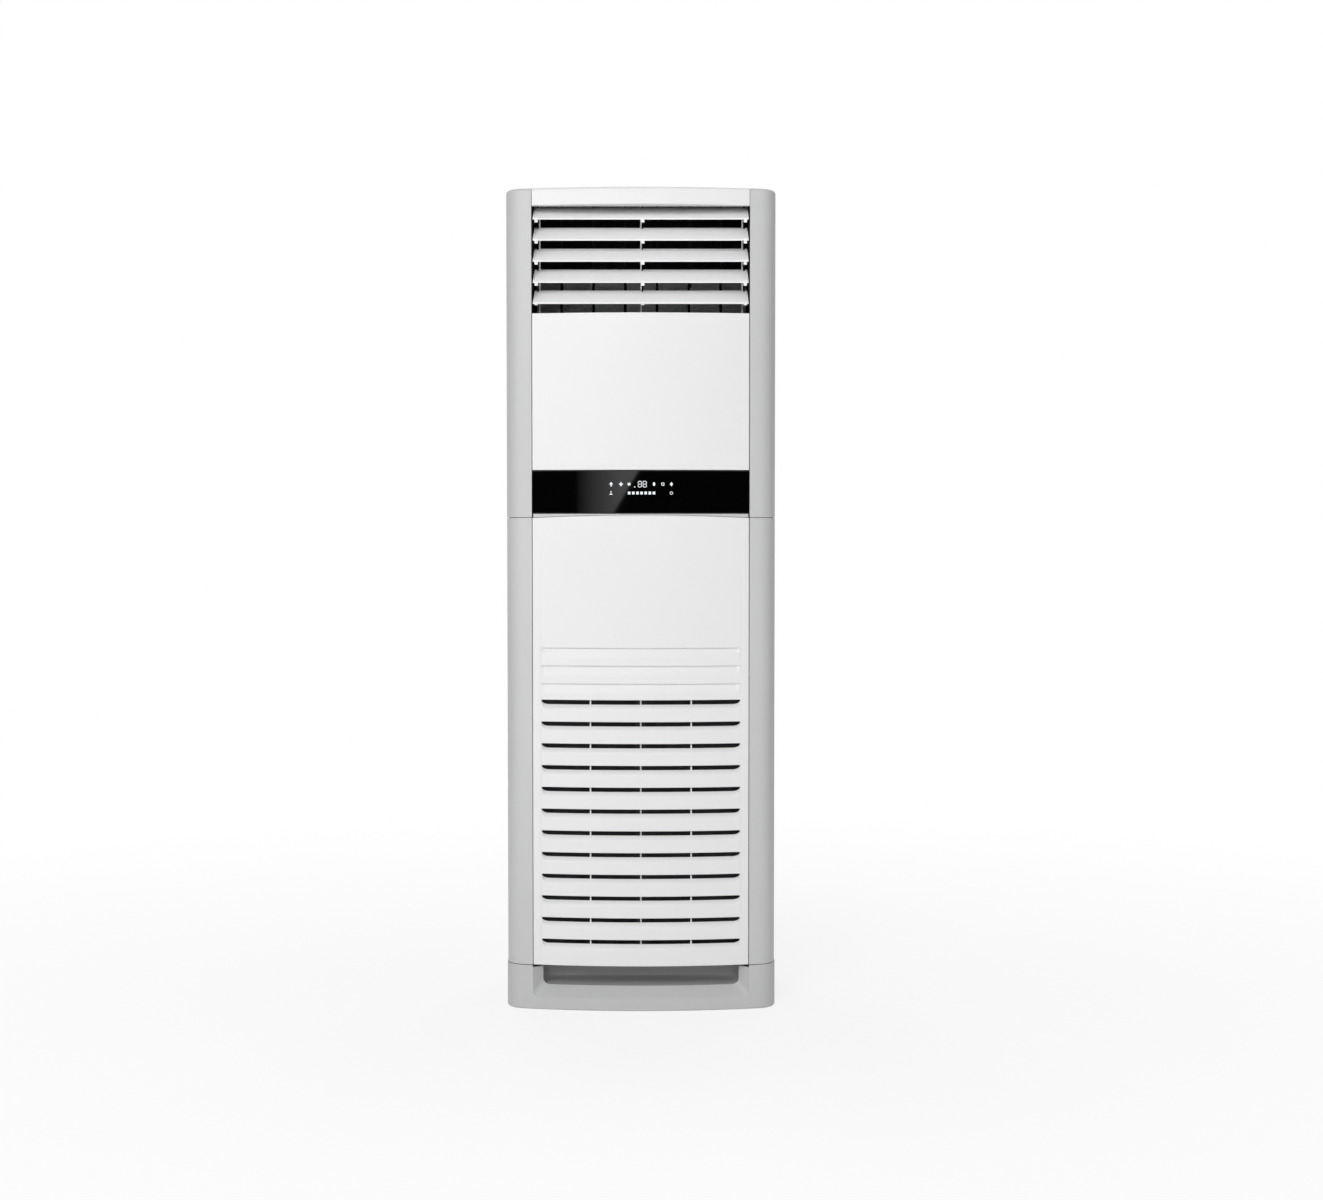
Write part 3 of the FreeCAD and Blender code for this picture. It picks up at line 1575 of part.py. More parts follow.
def vane(index):
    """An upright vane on two spindles, with a crank pin on top; one is driven from below."""
    x = vane_x(index)
    low = z_duct - S.vane_motor_height / 2 if index == DRIVEN_VANE else z_duct
    plate = Piece("flag")
    plate.box(x - S.vane_wall / 2, x + S.vane_wall / 2, y_vane - S.vane_front, y_vane + S.vane_rear,
              z_vane, z_vane_top)
    plate.rod("z", S.vane_spindle_radius, low, z_duct_top, (x, y_vane))
    plate.rod("z", S.vane_pin_radius, z_vane_top - S.vane_end_gap, z_vane_link + S.link_wall,
              (x, y_vane + S.vane_crank))
    plate.done(f"vane_{index}")


def vane_link():
    y = y_vane + S.vane_crank
    bar = Piece("tie_bar")
    bar.box(vane_x(1) - S.link_half_width, vane_x(VANES) + S.link_half_width, y - S.link_half_width,
            y + S.link_half_width, z_vane_link, z_vane_link + S.link_wall)
    for index in range(1, VANES + 1):
        bar.cut_rod("z", S.vane_pin_radius + S.pivot_clearance, z_vane_link - SPARE,
                    z_vane_link + S.link_wall + SPARE, (vane_x(index), y))
    bar.done("vane_link")


def vane_motor():
    spot = (vane_x(DRIVEN_VANE), y_vane)
    ear = S.vane_motor_radius + S.flange_width / 2
    can = Piece("swing_motor")
    can.rod("z", S.vane_motor_radius, z_duct - S.vane_motor_height, z_duct, spot)
    can.box(spot[0] - ear, spot[0] + ear, y_vane - S.flange_width / 4, y_vane + S.flange_width / 4,
            z_duct - S.sheet_wall, z_duct)
    can.cut_rod("z", S.vane_spindle_radius + S.shaft_clearance,
                z_duct - S.vane_motor_height / 2 - S.standoff, z_duct + SPARE, spot)
    can.done("vane_motor")


outlet_duct()
pivot_strips()
for louver_index in range(1, LOUVERS + 1):
    louver(louver_index)
louver_link()
for vane_index in range(1, VANES + 1):
    vane(vane_index)
vane_link()
vane_motor()


def write_parts():
    """Checks every object and sub-part, then writes one file per sub-part."""
    doc.recompute()
    failed = [thing.Name for thing in doc.Objects if {"Invalid", "Error"} & set(thing.State)]
    if failed:
        raise RuntimeError(f"these objects failed: {failed}")
    for thing in NODES:
        shape = thing.Shape
        if shape.isNull() or not shape.isValid() or not shape.Solids:
            raise RuntimeError(f"{thing.Label} has no valid solid")
    os.makedirs("parts", exist_ok=True)
    for thing in NODES:
        thing.Shape.exportStep(f"parts/{thing.Label}.step")
    print(len(NODES), "sub-parts written")


write_parts()
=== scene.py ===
# %% [markdown]
# # A floor standing air conditioner
#
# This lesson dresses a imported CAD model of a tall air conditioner. The CAD pieces are the fixed frame: they
# keep their places and their joints. Here each outer shell gets a smooth mesh with rounded edges, and every
# piece gets a material built from nodes. All lengths are metres, the front faces -Y and the floor is at Z =
# 0.

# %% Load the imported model
import json
import math

import bmesh
import bpy
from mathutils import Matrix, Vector


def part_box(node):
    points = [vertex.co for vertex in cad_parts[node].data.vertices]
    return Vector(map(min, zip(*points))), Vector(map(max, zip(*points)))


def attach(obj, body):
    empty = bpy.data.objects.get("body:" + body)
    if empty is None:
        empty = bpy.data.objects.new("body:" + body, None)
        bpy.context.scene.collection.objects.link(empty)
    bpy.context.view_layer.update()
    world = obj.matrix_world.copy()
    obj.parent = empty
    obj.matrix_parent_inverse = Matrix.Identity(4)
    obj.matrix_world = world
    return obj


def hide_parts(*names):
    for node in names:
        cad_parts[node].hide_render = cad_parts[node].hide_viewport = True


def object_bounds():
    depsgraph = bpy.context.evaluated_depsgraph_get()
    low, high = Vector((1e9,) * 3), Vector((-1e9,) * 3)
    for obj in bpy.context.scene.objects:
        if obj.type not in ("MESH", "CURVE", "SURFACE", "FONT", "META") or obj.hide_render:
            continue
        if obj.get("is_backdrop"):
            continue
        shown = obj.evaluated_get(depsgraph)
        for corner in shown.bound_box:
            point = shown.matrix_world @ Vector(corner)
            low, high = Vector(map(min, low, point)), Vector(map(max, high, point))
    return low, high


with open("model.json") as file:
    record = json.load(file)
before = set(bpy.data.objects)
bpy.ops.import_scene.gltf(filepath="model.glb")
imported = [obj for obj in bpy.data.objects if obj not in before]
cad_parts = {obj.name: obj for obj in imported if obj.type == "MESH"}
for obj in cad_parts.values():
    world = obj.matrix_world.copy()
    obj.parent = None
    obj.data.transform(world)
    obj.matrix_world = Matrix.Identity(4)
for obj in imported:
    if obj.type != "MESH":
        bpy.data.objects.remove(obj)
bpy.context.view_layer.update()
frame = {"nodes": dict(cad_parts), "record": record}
nodes = frame["nodes"]

# %% [markdown]
# ## The sizes of the front
#
# The whole front is one bowed wall: in plan it is an arc of a large circle, with a round corner at each
# side. Most sizes are read from the CAD nodes, so that the dress follows the model. The radius of the bow
# and of the corners can't be read from a box, so they are written here. SUPPORT is the distance of the
# extra row beside each rounded edge: without it, smooth shading would let the edge's tilt bleed over the
# whole face.

# %% Read the sizes
BOW_RADIUS = 1.307
CORNER_RADIUS = 0.045
RETURN_DEPTH = 0.0835
TOP_EDGE = 0.008
SKIN = 0.0026
SUPPORT = 0.0004
QUARTER_TURN = math.radians(90)

column_low, column_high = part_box("lower_column_right")
upper_low, upper_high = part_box("upper_column_right")
half_width = column_high.x
x_column = column_low.x
column_back = column_high.y
z_top = upper_high.z
x_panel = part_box("upper_panel")[1].x
y_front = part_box("upper_panel")[0].y
bow_centre = y_front + BOW_RADIUS
column_return = y_front + RETURN_DEPTH
print("front at", round(y_front, 4), "half width", round(half_width, 4), "height", round(z_top, 4))


def bow(x, inset=0.0):
    """Y of the bowed front at x, or of a surface that lies inset behind it."""
    return bow_centre - math.sqrt((BOW_RADIUS - inset) ** 2 - x * x)


def spaced(first, last, count):
    """Evenly spaced numbers, both ends included."""
    return [first + (last - first) * step / (count - 1) for step in range(count)]


def rounding(radius, count):
    """Pairs of (distance from the edge, inset) round a quarter circle, the edge first."""
    angles = spaced(0.0, QUARTER_TURN, count)
    return [(radius * (1 - math.cos(angle)), radius * (1 - math.sin(angle))) for angle in angles]


# %% [markdown]
# ## Helpers for shells
#
# A moulded cover is a thin wall. It is easiest to draw only its outer surface as rows of points, join the
# rows with faces, and let the Solidify modifier give the wall its thickness. Edges are rounded in the rows
# themselves, or with the Bevel modifier where the mesh is simple. At the end the modifiers are turned into a
# plain mesh. A finished piece is then fitted: it gets its finish, named by its slot unless another one is
# named, it is hung on the body that it moves with, and the CAD nodes that it stands for are hidden.

# %% Points and faces
MERGE = 1e-5


def put_in_scene(name, data):
    made = bpy.data.objects.new(name, data)
    bpy.context.scene.collection.objects.link(made)
    return made


def make_piece(name, points, faces, toward, agree=False):
    """An object from points and faces, merged and turned to one side; agree first makes its faces agree."""
    mesh = bpy.data.meshes.new(name)
    mesh.from_pydata(points, [], faces)
    form = bmesh.new()
    form.from_mesh(mesh)
    bmesh.ops.remove_doubles(form, verts=form.verts, dist=MERGE)
    bmesh.ops.dissolve_degenerate(form, edges=form.edges, dist=MERGE / 10)
    if agree:
        bmesh.ops.recalc_face_normals(form, faces=form.faces)
    facing = sum((face.normal * face.calc_area() for face in form.faces), Vector())
    if facing.dot(Vector(toward)) < 0:
        bmesh.ops.reverse_faces(form, faces=form.faces)
    form.to_mesh(mesh)
    form.free()
    return put_in_scene(name, mesh)


def grid_faces(rows, columns, open_rows=()):
    """Faces between the rows of a grid of points, leaving out the strips in open_rows."""
    faces = []
    for row in range(rows - 1):
        if row in open_rows:
            continue
        for column in range(columns - 1):
            corner = row * columns + column
            faces.append((corner, corner + 1, corner + 1 + columns, corner + columns))
    return faces


# %% Walls, rounded edges and shading
SHARP_ANGLE = 32


def thicken(piece, thickness):
    wall = piece.modifiers.new("wall", "SOLIDIFY")
    wall.thickness = thickness
    wall.offset = -1
    wall.use_even_offset = True
    wall.use_quality_normals = True


def round_edges(piece, width, segments, angle):
    edges = piece.modifiers.new("edges", "BEVEL")
    edges.width = width
    edges.segments = segments
    edges.limit_method = "ANGLE"
    edges.angle_limit = math.radians(angle)


def shade(mesh, angle):
    mesh.shade_smooth()
    mesh.set_sharp_from_angle(angle=math.radians(angle))


def settle(piece, angle=SHARP_ANGLE):
    """Turns a piece's modifiers into a plain mesh and smooths its shading."""
    graph = bpy.context.evaluated_depsgraph_get()
    mesh = bpy.data.meshes.new_from_object(piece.evaluated_get(graph))
    mesh.name = piece.name
    piece.modifiers.clear()
    piece.data = mesh
    shade(mesh, angle)
    return piece


def shell(name, rows, wall, open_rows=()):
    """A wall whose outer side runs through rows of points and faces the front."""
    points = [point for row in rows for point in row]
    piece = make_piece(name, points, grid_faces(len(rows), len(rows[0]), open_rows), (0, -1, 0))
    thicken(piece, wall)
    return settle(piece)


# %% Fitting a piece
finishes = {}


def fit(piece, body, slot, *stands_for, finish=None):
    """Fits a finished piece; its finish has the slot's name unless another one is named."""
    piece.data.materials.clear()
    piece.data.materials.append(finishes[finish or slot])
    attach(piece, body)
    if stands_for:
        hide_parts(*stands_for)
    print(piece.name, "faces", len(piece.data.polygons))


# %% [markdown]
# ## Finishes
#
# Moulded plastic isn't one flat colour: it has a fine grain that breaks up highlights, and a faint drift of
# tone from the moulding. One helper builds that from two noise textures on Object coordinates: a broad one
# for tone and roughness, and a fine one for the bump. Each finish then changes the numbers, or swaps the
# fine noise for brushing, netting or fins.

# %% Node helper
def add_node(tree, kind, inputs=None, **settings):
    """A new node with its settings made and its inputs set, or linked where a socket is given."""
    made = tree.nodes.new(kind)
    for name, value in settings.items():
        setattr(made, name, value)
    for name, value in (inputs or {}).items():
        if isinstance(value, bpy.types.NodeSocket):
            tree.links.new(value, made.inputs[name])
        else:
            made.inputs[name].default_value = value
    return made


# %% A finish
NOISE_LOW = 0.3
NOISE_HIGH = 0.7


class Finish:
    """A node material around one Principled shader."""

    def __init__(self, name, rough, metallic=0.0, specular=0.5):
        self.material = bpy.data.materials.new(name)
        self.material.use_nodes = True
        self.tree = self.material.node_tree
        self.shader = self.tree.nodes["Principled BSDF"]
        self.shader.inputs["Roughness"].default_value = rough
        self.shader.inputs["Metallic"].default_value = metallic
        self.shader.inputs["Specular IOR Level"].default_value = specular
        self.place = self.add("ShaderNodeTexCoord").outputs["Object"]
        finishes[name] = self.material

    def add(self, kind, inputs=None, **settings):
        return add_node(self.tree, kind, inputs, **settings)

    def drive(self, socket, source):
        self.tree.links.new(source, self.shader.inputs[socket])

    def noise(self, scale, detail=3.0, stretch=(1, 1, 1)):
        place = self.add("ShaderNodeMapping", {"Vector": self.place, "Scale": stretch}).outputs["Vector"]
        made = self.add("ShaderNodeTexNoise", {"Vector": place, "Scale": scale, "Detail": detail})
        return made.outputs["Fac"]

    def tone(self, source, dark, light):
        ramp = self.add("ShaderNodeValToRGB", {"Fac": source})
        first, last = ramp.color_ramp.elements
        for element, position, colour in ((first, NOISE_LOW, dark), (last, NOISE_HIGH, light)):
            element.position = position
            element.color = (*colour, 1)
        self.drive("Base Color", ramp.outputs["Color"])
        return ramp.outputs["Color"]

    def rough(self, source, low, high):
        ranges = {"From Min": NOISE_LOW, "From Max": NOISE_HIGH, "To Min": low, "To Max": high}
        made = self.add("ShaderNodeMapRange", {"Value": source, **ranges})
        self.drive("Roughness", made.outputs["Result"])

    def bump(self, source, distance):
        made = self.add("ShaderNodeBump", {"Height": source, "Distance": distance, "Strength": 1.0})
        self.drive("Normal", made.outputs["Normal"])


# %% Plastic and metal
PLASTIC_ROUGH_DRIFT = 0.02
METAL_ROUGH_DRIFT = 0.08


def shades(colour, drift):
    """A colour a little darker and a little lighter."""
    return tuple(part * (1 - drift) for part in colour), tuple(part * (1 + drift) for part in colour)


def plastic(name, colour, rough, drift=0.02, grain=2600, depth=0.00002, specular=0.5):
    """Moulded plastic: a faint drift of tone and roughness, a fine grain in the bump."""
    finish = Finish(name, rough, specular=specular)
    broad = finish.noise(scale=3.0, detail=2.0)
    finish.tone(broad, *shades(colour, drift))
    finish.rough(broad, rough - PLASTIC_ROUGH_DRIFT, rough + PLASTIC_ROUGH_DRIFT)
    finish.bump(finish.noise(grain, detail=2.0), depth)


def metal(name, colour, rough, stretch, drift=0.06, depth=0.00002):
    """Bare metal with the marks of brushing or rolling along one direction."""
    finish = Finish(name, rough, metallic=1.0)
    marks = finish.noise(scale=60.0, detail=5.0, stretch=stretch)
    finish.tone(marks, *shades(colour, drift))
    finish.rough(marks, rough - METAL_ROUGH_DRIFT, rough + METAL_ROUGH_DRIFT)
    finish.bump(marks, depth)


# %% [markdown]
# ## The colours of this object
#
# The panels and blades are satin white, the columns a satin silver grey and the plinth a shade darker. The
# blades' white is lighter than the panels' white: painted light, making up for the shade that falls between
# the blades. The display window is deep gloss black. Inside are zinc coated sheet, copper tube, aluminium
# fins, dark foam and black duct plastic. The lower part of the foam, up to a set height, is painted a lighter
# grey: painted light, standing in for the light that falls between the blades onto the lower rear wall. It
# shows as a grey field behind the lowest gaps of the outlet.

# %% The plastics and metals of this object
plastic("column_silver", (0.56, 0.562, 0.565), rough=0.45, drift=0.015, grain=3200, depth=0.000008)
plastic("plinth_silver", (0.52, 0.522, 0.525), rough=0.45, drift=0.015, grain=3200, depth=0.000008)
plastic("panel_white", (0.785, 0.785, 0.787), rough=0.38, drift=0.006, grain=2200, depth=0.000002)
# painted light: the blades' white is lighter than the panels' white, making up for the shade that falls
# between the blades
plastic("louver_white", (0.955, 0.955, 0.957), rough=0.42, drift=0.006, grain=2400, depth=0.000003)
plastic("display_black", (0.001, 0.001, 0.0011), rough=0.03, drift=0.1, grain=500, depth=0.0000002,
        specular=0.35)
plastic("duct_black", (0.006, 0.006, 0.0065), rough=0.75, drift=0.1, grain=1800, depth=0.00003, specular=0.12)
plastic("cabinet_sheet", (0.52, 0.525, 0.53), rough=0.45, grain=900)
plastic("filter_frame_plastic", (0.05, 0.05, 0.054), rough=0.5, drift=0.08)
plastic("terminal_plastic", (0.6, 0.57, 0.48), rough=0.45, drift=0.04)
plastic("grommet_rubber", (0.02, 0.02, 0.02), rough=0.75, drift=0.15, grain=1500, depth=0.00005)
plastic("motor_steel", (0.16, 0.165, 0.175), rough=0.4, drift=0.05, grain=700, depth=0.00003)
metal("zinc_sheet", (0.55, 0.56, 0.57), rough=0.42, stretch=(1, 1, 6))
metal("steel", (0.5, 0.51, 0.52), rough=0.3, stretch=(1, 1, 12))
metal("copper", (0.72, 0.36, 0.2), rough=0.3, stretch=(1, 1, 3), drift=0.12)
metal("brass_nut", (0.72, 0.54, 0.24), rough=0.28, stretch=(8, 1, 1))
metal("coil_aluminium", (0.72, 0.73, 0.74), rough=0.35, stretch=(30, 1, 1), drift=0.2, depth=0.0003)
print("plastics and metals", len(finishes))

# %% Foam, circuit board and filter net
# painted light: below this height the foam is a lighter grey, standing in for the light that falls between
# the blades onto the lower rear wall
PAINTED_LIGHT_TOP = 1.69
PAINTED_LIGHT_FADE = 0.03
PAINTED_LIGHT_GREY = (0.45, 0.45, 0.46, 1)

foam = Finish("foam", rough=0.95, specular=0.1)
cells = foam.add("ShaderNodeTexVoronoi", {"Vector": foam.place, "Scale": 420.0}).outputs["Distance"]
bare = foam.tone(cells, dark=(0.008, 0.008, 0.009), light=(0.02, 0.02, 0.021))
# painted light: the mix below puts the lighter grey on the foam under that height, and leaves the plain dark
# foam above it
height = foam.add("ShaderNodeSeparateXYZ", {"Vector": foam.place}).outputs["Z"]
edges = {"From Min": PAINTED_LIGHT_TOP, "From Max": PAINTED_LIGHT_TOP - PAINTED_LIGHT_FADE}
painted_light_share = foam.add("ShaderNodeMapRange", {"Value": height, **edges}).outputs["Result"]
facing = foam.add("ShaderNodeMixRGB", {"Fac": painted_light_share, "Color1": bare, "Color2": PAINTED_LIGHT_GREY})
foam.drive("Base Color", facing.outputs["Color"])
foam.bump(cells, distance=0.001)

board = Finish("board_green", rough=0.35)
bricks = {"Vector": board.place, "Scale": 90.0, "Mortar Size": 0.05}
tracks = board.add("ShaderNodeTexBrick", bricks).outputs["Fac"]
board.tone(tracks, dark=(0.012, 0.09, 0.03), light=(0.03, 0.2, 0.07))
board.bump(tracks, distance=0.0001)

net = Finish("filter_net", rough=0.6)
turned = net.add("ShaderNodeMapping", {"Vector": net.place, "Rotation": (QUARTER_TURN, 0, 0)})
bricks = {"Vector": turned.outputs["Vector"], "Scale": 260.0, "Mortar Size": 0.08}
threads = net.add("ShaderNodeTexBrick", bricks, offset=0).outputs["Fac"]
net.tone(threads, dark=(0.012, 0.012, 0.014), light=(0.06, 0.06, 0.066))
net.bump(threads, distance=0.0006)
print("finishes", len(finishes))

# %% [markdown]
# ## The CAD pieces that stay
#
# The inner pieces are sheet metal, tube and moulded boxes whose CAD shape is right already. They keep their
# meshes and only take a finish, found through the record's list of slots.

# %% Dress the carried-over nodes
slot_of = {entry["node"]: entry["material_slot"] for entry in frame["record"]["subparts"]}
for name, node in nodes.items():
    node.data.materials.clear()
    node.data.materials.append(finishes[slot_of[name]])
print("dressed", len(slot_of), "nodes")

# %% [markdown]
# ## Corner columns
#
# Each corner column is a J in plan: a short return beside the panels, the bowed front, the round corner and
# the side. The plan is pushed up along Z. At the top of the upper columns the rings of the plan shrink
# through a quarter circle, which gives the soft shoulder that the real moulding has, and a flat lid closes
# them.

# %% Column plan
BOW_STEPS = 8
CORNER_STEPS = 16
ROUND_STEPS = 8
COLUMN_BEVEL = 0.0009
BEVEL_SEGMENTS = 3
BEVEL_ANGLE = 50
fillet_x = half_width - CORNER_RADIUS
fillet_reach = BOW_RADIUS - CORNER_RADIUS
fillet_y = bow_centre - math.sqrt(fillet_reach ** 2 - fillet_x ** 2)


def corner_plan(x_start, y_end, inset=0.0):
    """Plan points of the right-hand front corner, from x_start on the bow to y_end on the side."""
    radius = CORNER_RADIUS - inset
    x_bow = fillet_x * (BOW_RADIUS - inset) / fillet_reach
    plan = [(x, bow(x, inset)) for x in spaced(x_start, x_bow, BOW_STEPS)]
    first = math.atan2(fillet_y - bow_centre, fillet_x)
    for angle in spaced(first, 0.0, CORNER_STEPS)[1:]:
        plan.append((fillet_x + radius * math.cos(angle), fillet_y + radius * math.sin(angle)))
    plan.append((half_width - inset, y_end))
    return plan


def side_faces(rows, side):
    """Faces between rows of the right-hand plan, turned round where side mirrors it to the left."""
    faces = grid_faces(len(rows), len(rows[0]))
    if side < 0:
        return [tuple(reversed(face)) for face in faces]
    return faces


# %% Columns
def column(name, side, rings, lid):
    """A column through rings of (inset, z); side is 1 on the right and -1 on the left."""
    rows = []
    for inset, z in rings:
        plan = [(x_column, column_return)] + corner_plan(x_column, column_back, inset)
        rows.append([(side * x, y, z) for x, y in plan])
    points = [point for row in rows for point in row]
    faces = side_faces(rows, side)
    if lid:
        top_row = list(range(len(points) - len(rows[0]), len(points)))
        points.append((side * x_column, column_back, rings[-1][1]))
        top_face = tuple(top_row) + (len(points) - 1,)
        faces.append(top_face if side > 0 else tuple(reversed(top_face)))
    piece = make_piece(name, points, faces, (side, -1, 0))
    thicken(piece, SKIN)
    round_edges(piece, COLUMN_BEVEL, BEVEL_SEGMENTS, BEVEL_ANGLE)
    settle(piece)
    # no point may stand above the CAD model
    for vertex in piece.data.vertices:
        vertex.co.z = min(vertex.co.z, z_top)
    return piece


shoulder = [(0.0, z_top - TOP_EDGE - SUPPORT)]
shoulder += [(inset, z_top - drop) for inset, drop in rounding(TOP_EDGE, ROUND_STEPS)]
lower_rings = [(0, column_low.z), (0, column_high.z)]
upper_rings = [(0, upper_low.z)] + shoulder
for label, side in (("left", -1), ("right", 1)):
    lower = column("lower_column_shell_" + label, side, lower_rings, lid=False)
    fit(lower, "cabinet", "column_silver", "lower_column_" + label)
    upper = column("upper_column_shell_" + label, side, upper_rings, lid=True)
    fit(upper, "cabinet", "column_silver", "upper_column_" + label)

# %% [markdown]
# ## Bowed trays
#
# The upper panel, the display window and the intake panel are shallow trays: a bowed face with walls that
# run back at all four sides. Each is a grid of levels (from bottom to top) and stations (from left to
# right). The first and last levels and stations fold back, and the ones beside them round the edge. A level
# is a function of x, so the same helper takes the scoops of the intake panel later.

# %% Tray helper
EDGE_ROUND = 0.0018
EDGE_STEPS = 4
edge_round = rounding(EDGE_ROUND, EDGE_STEPS)


def flat_level(z, inset=0.0):
    return lambda x: (inset, z)


def tray(name, stations, levels, back, open_rows=()):
    """A tray whose levels run from the bottom edge to the top edge; stations are the x of its flat face."""
    left = [(-x_panel + away, inset) for away, inset in edge_round]
    right = [(x_panel - away, inset) for away, inset in reversed(edge_round)]
    across = left + [(x, 0.0) for x in stations] + right
    rows = []
    for level in levels:
        row = []
        for x, side_inset in across:
            inset, z = level(x)
            row.append((x, bow(x, inset + side_inset), z))
        first, last = row[0], row[-1]
        rows.append([(first[0], back, first[2])] + row + [(last[0], back, last[2])])
    bottom = [(x, back, z) for x, _, z in rows[0]]
    top = [(x, back, z) for x, _, z in rows[-1]]
    shifted = tuple(row + 1 for row in open_rows)
    return shell(name, [bottom] + rows + [top], SKIN, shifted)


def plain_levels(z_low, z_high):
    """Levels of a plain face; one more row beside each rounded edge keeps the shading of the face flat."""
    low = [(z_low + away, inset) for away, inset in edge_round]
    high = [(z_high - away, inset) for away, inset in reversed(edge_round)]
    beside = [(z_low + EDGE_ROUND + SUPPORT, 0.0), (z_high - EDGE_ROUND - SUPPORT, 0.0)]
    return [flat_level(z, inset) for z, inset in low + beside + high]


# %% Upper panel and display window
FACE_STEPS = 49
x_flat = x_panel - EDGE_ROUND - SUPPORT
face_stations = spaced(-x_flat, x_flat, FACE_STEPS)
for name, node, slot in (("upper_panel_shell", "upper_panel", "panel_white"),
                         ("display_glass", "display_window", "display_black")):
    low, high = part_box(node)
    fit(tray(name, face_stations, plain_levels(low.z, high.z), high.y), "cabinet", slot, node)

# %% [markdown]
# ## Intake panel
#
# The big panel below has twelve open slots and, above them, three blind scoops. Each scoop starts softly at
# its lower edge, sinks along a hollow curve and ends under a sharp lip. At both ends it runs out in a
# quarter ellipse, so the slot's lower edge rises to meet the lip. All of that is one set of levels per
# scoop. In an open slot the strip of faces between the hollow and the lip is left out.

# %% Scoop levels
SCOOP_HEIGHT = 0.024
SCOOP_END = 0.221
SCOOP_FADE = 0.016
LIP_ROUND = 0.0009
HOLLOW_SHARES = (0.0, 0.12, 0.25, 0.4, 0.55, 0.7, 0.85, 1.0)
HOLLOW_POWER = 1.7


def run_out(x):
    """1 along a scoop, falling to 0 at its end along a quarter ellipse."""
    past = (abs(x) - (SCOOP_END - SCOOP_FADE)) / SCOOP_FADE
    if past <= 0:
        return 1.0
    if past >= 1:
        return 0.0
    return math.sqrt(1 - past * past)


def scoop_levels(z_lip, depth, opening, lip_depth):
    """Levels of one scoop from its lower edge up to the rounded lip."""
    def hollow(share):
        def level(x):
            full = run_out(x)
            z_low = z_lip - SCOOP_HEIGHT * full
            z_deep = z_lip - opening * full
            return depth * full * share ** HOLLOW_POWER, z_low + (z_deep - z_low) * share
        return level

    def lip(inset, rise):
        return lambda x: (inset * run_out(x), z_lip + rise * run_out(x))

    levels = [hollow(share) for share in HOLLOW_SHARES]
    levels.append(lip(lip_depth, 0.0))
    for away, inset in rounding(LIP_ROUND, EDGE_STEPS):
        levels.append(lip(inset, away))
    levels.append(lip(0.0, LIP_ROUND + SUPPORT))
    return levels


# %% Intake panel
SLOT_COUNT = 12
SLOT_PITCH = 0.04866
SLOT_OPENING = 0.0104
SLOT_DEPTH = 0.009
SLOT_LIP = 0.004
BLIND_COUNT = 3
BLIND_PITCH = 0.0397
BLIND_OPENING = 0.003
BLIND_DEPTH = 0.006
FIRST_SLOT = 0.6946
FIRST_BLIND = 0.7308
PANEL_CROWN = 0.006
HALF_STEPS = 24
END_STEPS = 10
BEYOND_STEPS = 4
intake_low, intake_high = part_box("intake_panel")
crown_ends = intake_high.z - PANEL_CROWN


def panel_top(x):
    """Z of the gently arched top edge."""
    return crown_ends + PANEL_CROWN * (1 - (x / x_panel) ** 2)


def crown_level(away, inset):
    return lambda x: (inset, panel_top(x) - away)


levels = [flat_level(intake_low.z + away, inset) for away, inset in edge_round]
levels.append(flat_level(intake_low.z + EDGE_ROUND + SUPPORT))
open_strips = []
for index in reversed(range(SLOT_COUNT)):
    open_strips.append(len(levels) + len(HOLLOW_SHARES) - 1)
    levels += scoop_levels(FIRST_SLOT - SLOT_PITCH * index, SLOT_DEPTH, SLOT_OPENING, SLOT_LIP)
for index in range(BLIND_COUNT):
    levels += scoop_levels(FIRST_BLIND + BLIND_PITCH * index, BLIND_DEPTH, BLIND_OPENING, BLIND_DEPTH)
levels.append(crown_level(EDGE_ROUND + SUPPORT, 0.0))
for away, inset in reversed(edge_round):
    levels.append(crown_level(away, inset))
straight = SCOOP_END - SCOOP_FADE
ends = [straight + SCOOP_FADE * math.sin(angle) for angle in spaced(0.0, QUARTER_TURN, END_STEPS)]
beyond = spaced(SCOOP_END, x_flat, BEYOND_STEPS)[1:]
right_half = spaced(0.0, straight, HALF_STEPS)[1:-1] + ends + beyond
intake_stations = [-x for x in reversed(right_half)] + [0.0] + right_half
intake = tray("intake_panel_shell", intake_stations, levels, intake_high.y, open_strips)
fit(intake, "intake_panel", "panel_white", "intake_panel")

# %% [markdown]
# ## Sill under the window
#
# The window's lower edge is straight but the panel below it is arched, so a grey sliver shows between them.
# It is a narrow strip, a little behind the front, cut to the arch with a thin gap for the panel to swing
# out.

# %% Sill
SILL_INSET = 0.0022
SILL_DEPTH = 0.006
SILL_GAP = 0.0008
window_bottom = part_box("display_window")[0].z
sill_low = [(x, bow(x, SILL_INSET), panel_top(x) + SILL_GAP) for x in face_stations]
sill_high = [(x, bow(x, SILL_INSET), window_bottom) for x in face_stations]
fit(shell("display_sill", [sill_low, sill_high], SILL_DEPTH), "cabinet", "column_silver")

# %% [markdown]
# ## Geometry Nodes helper
#
# Blades, ribs and screws repeat, so they come from Geometry Nodes. A tree gets named inputs for its sizes
# and ends in Realize Instances and Set Material. The helper makes an empty object, hangs the tree on it,
# sets its inputs by the identifiers of the sockets and keeps the result as a plain mesh.


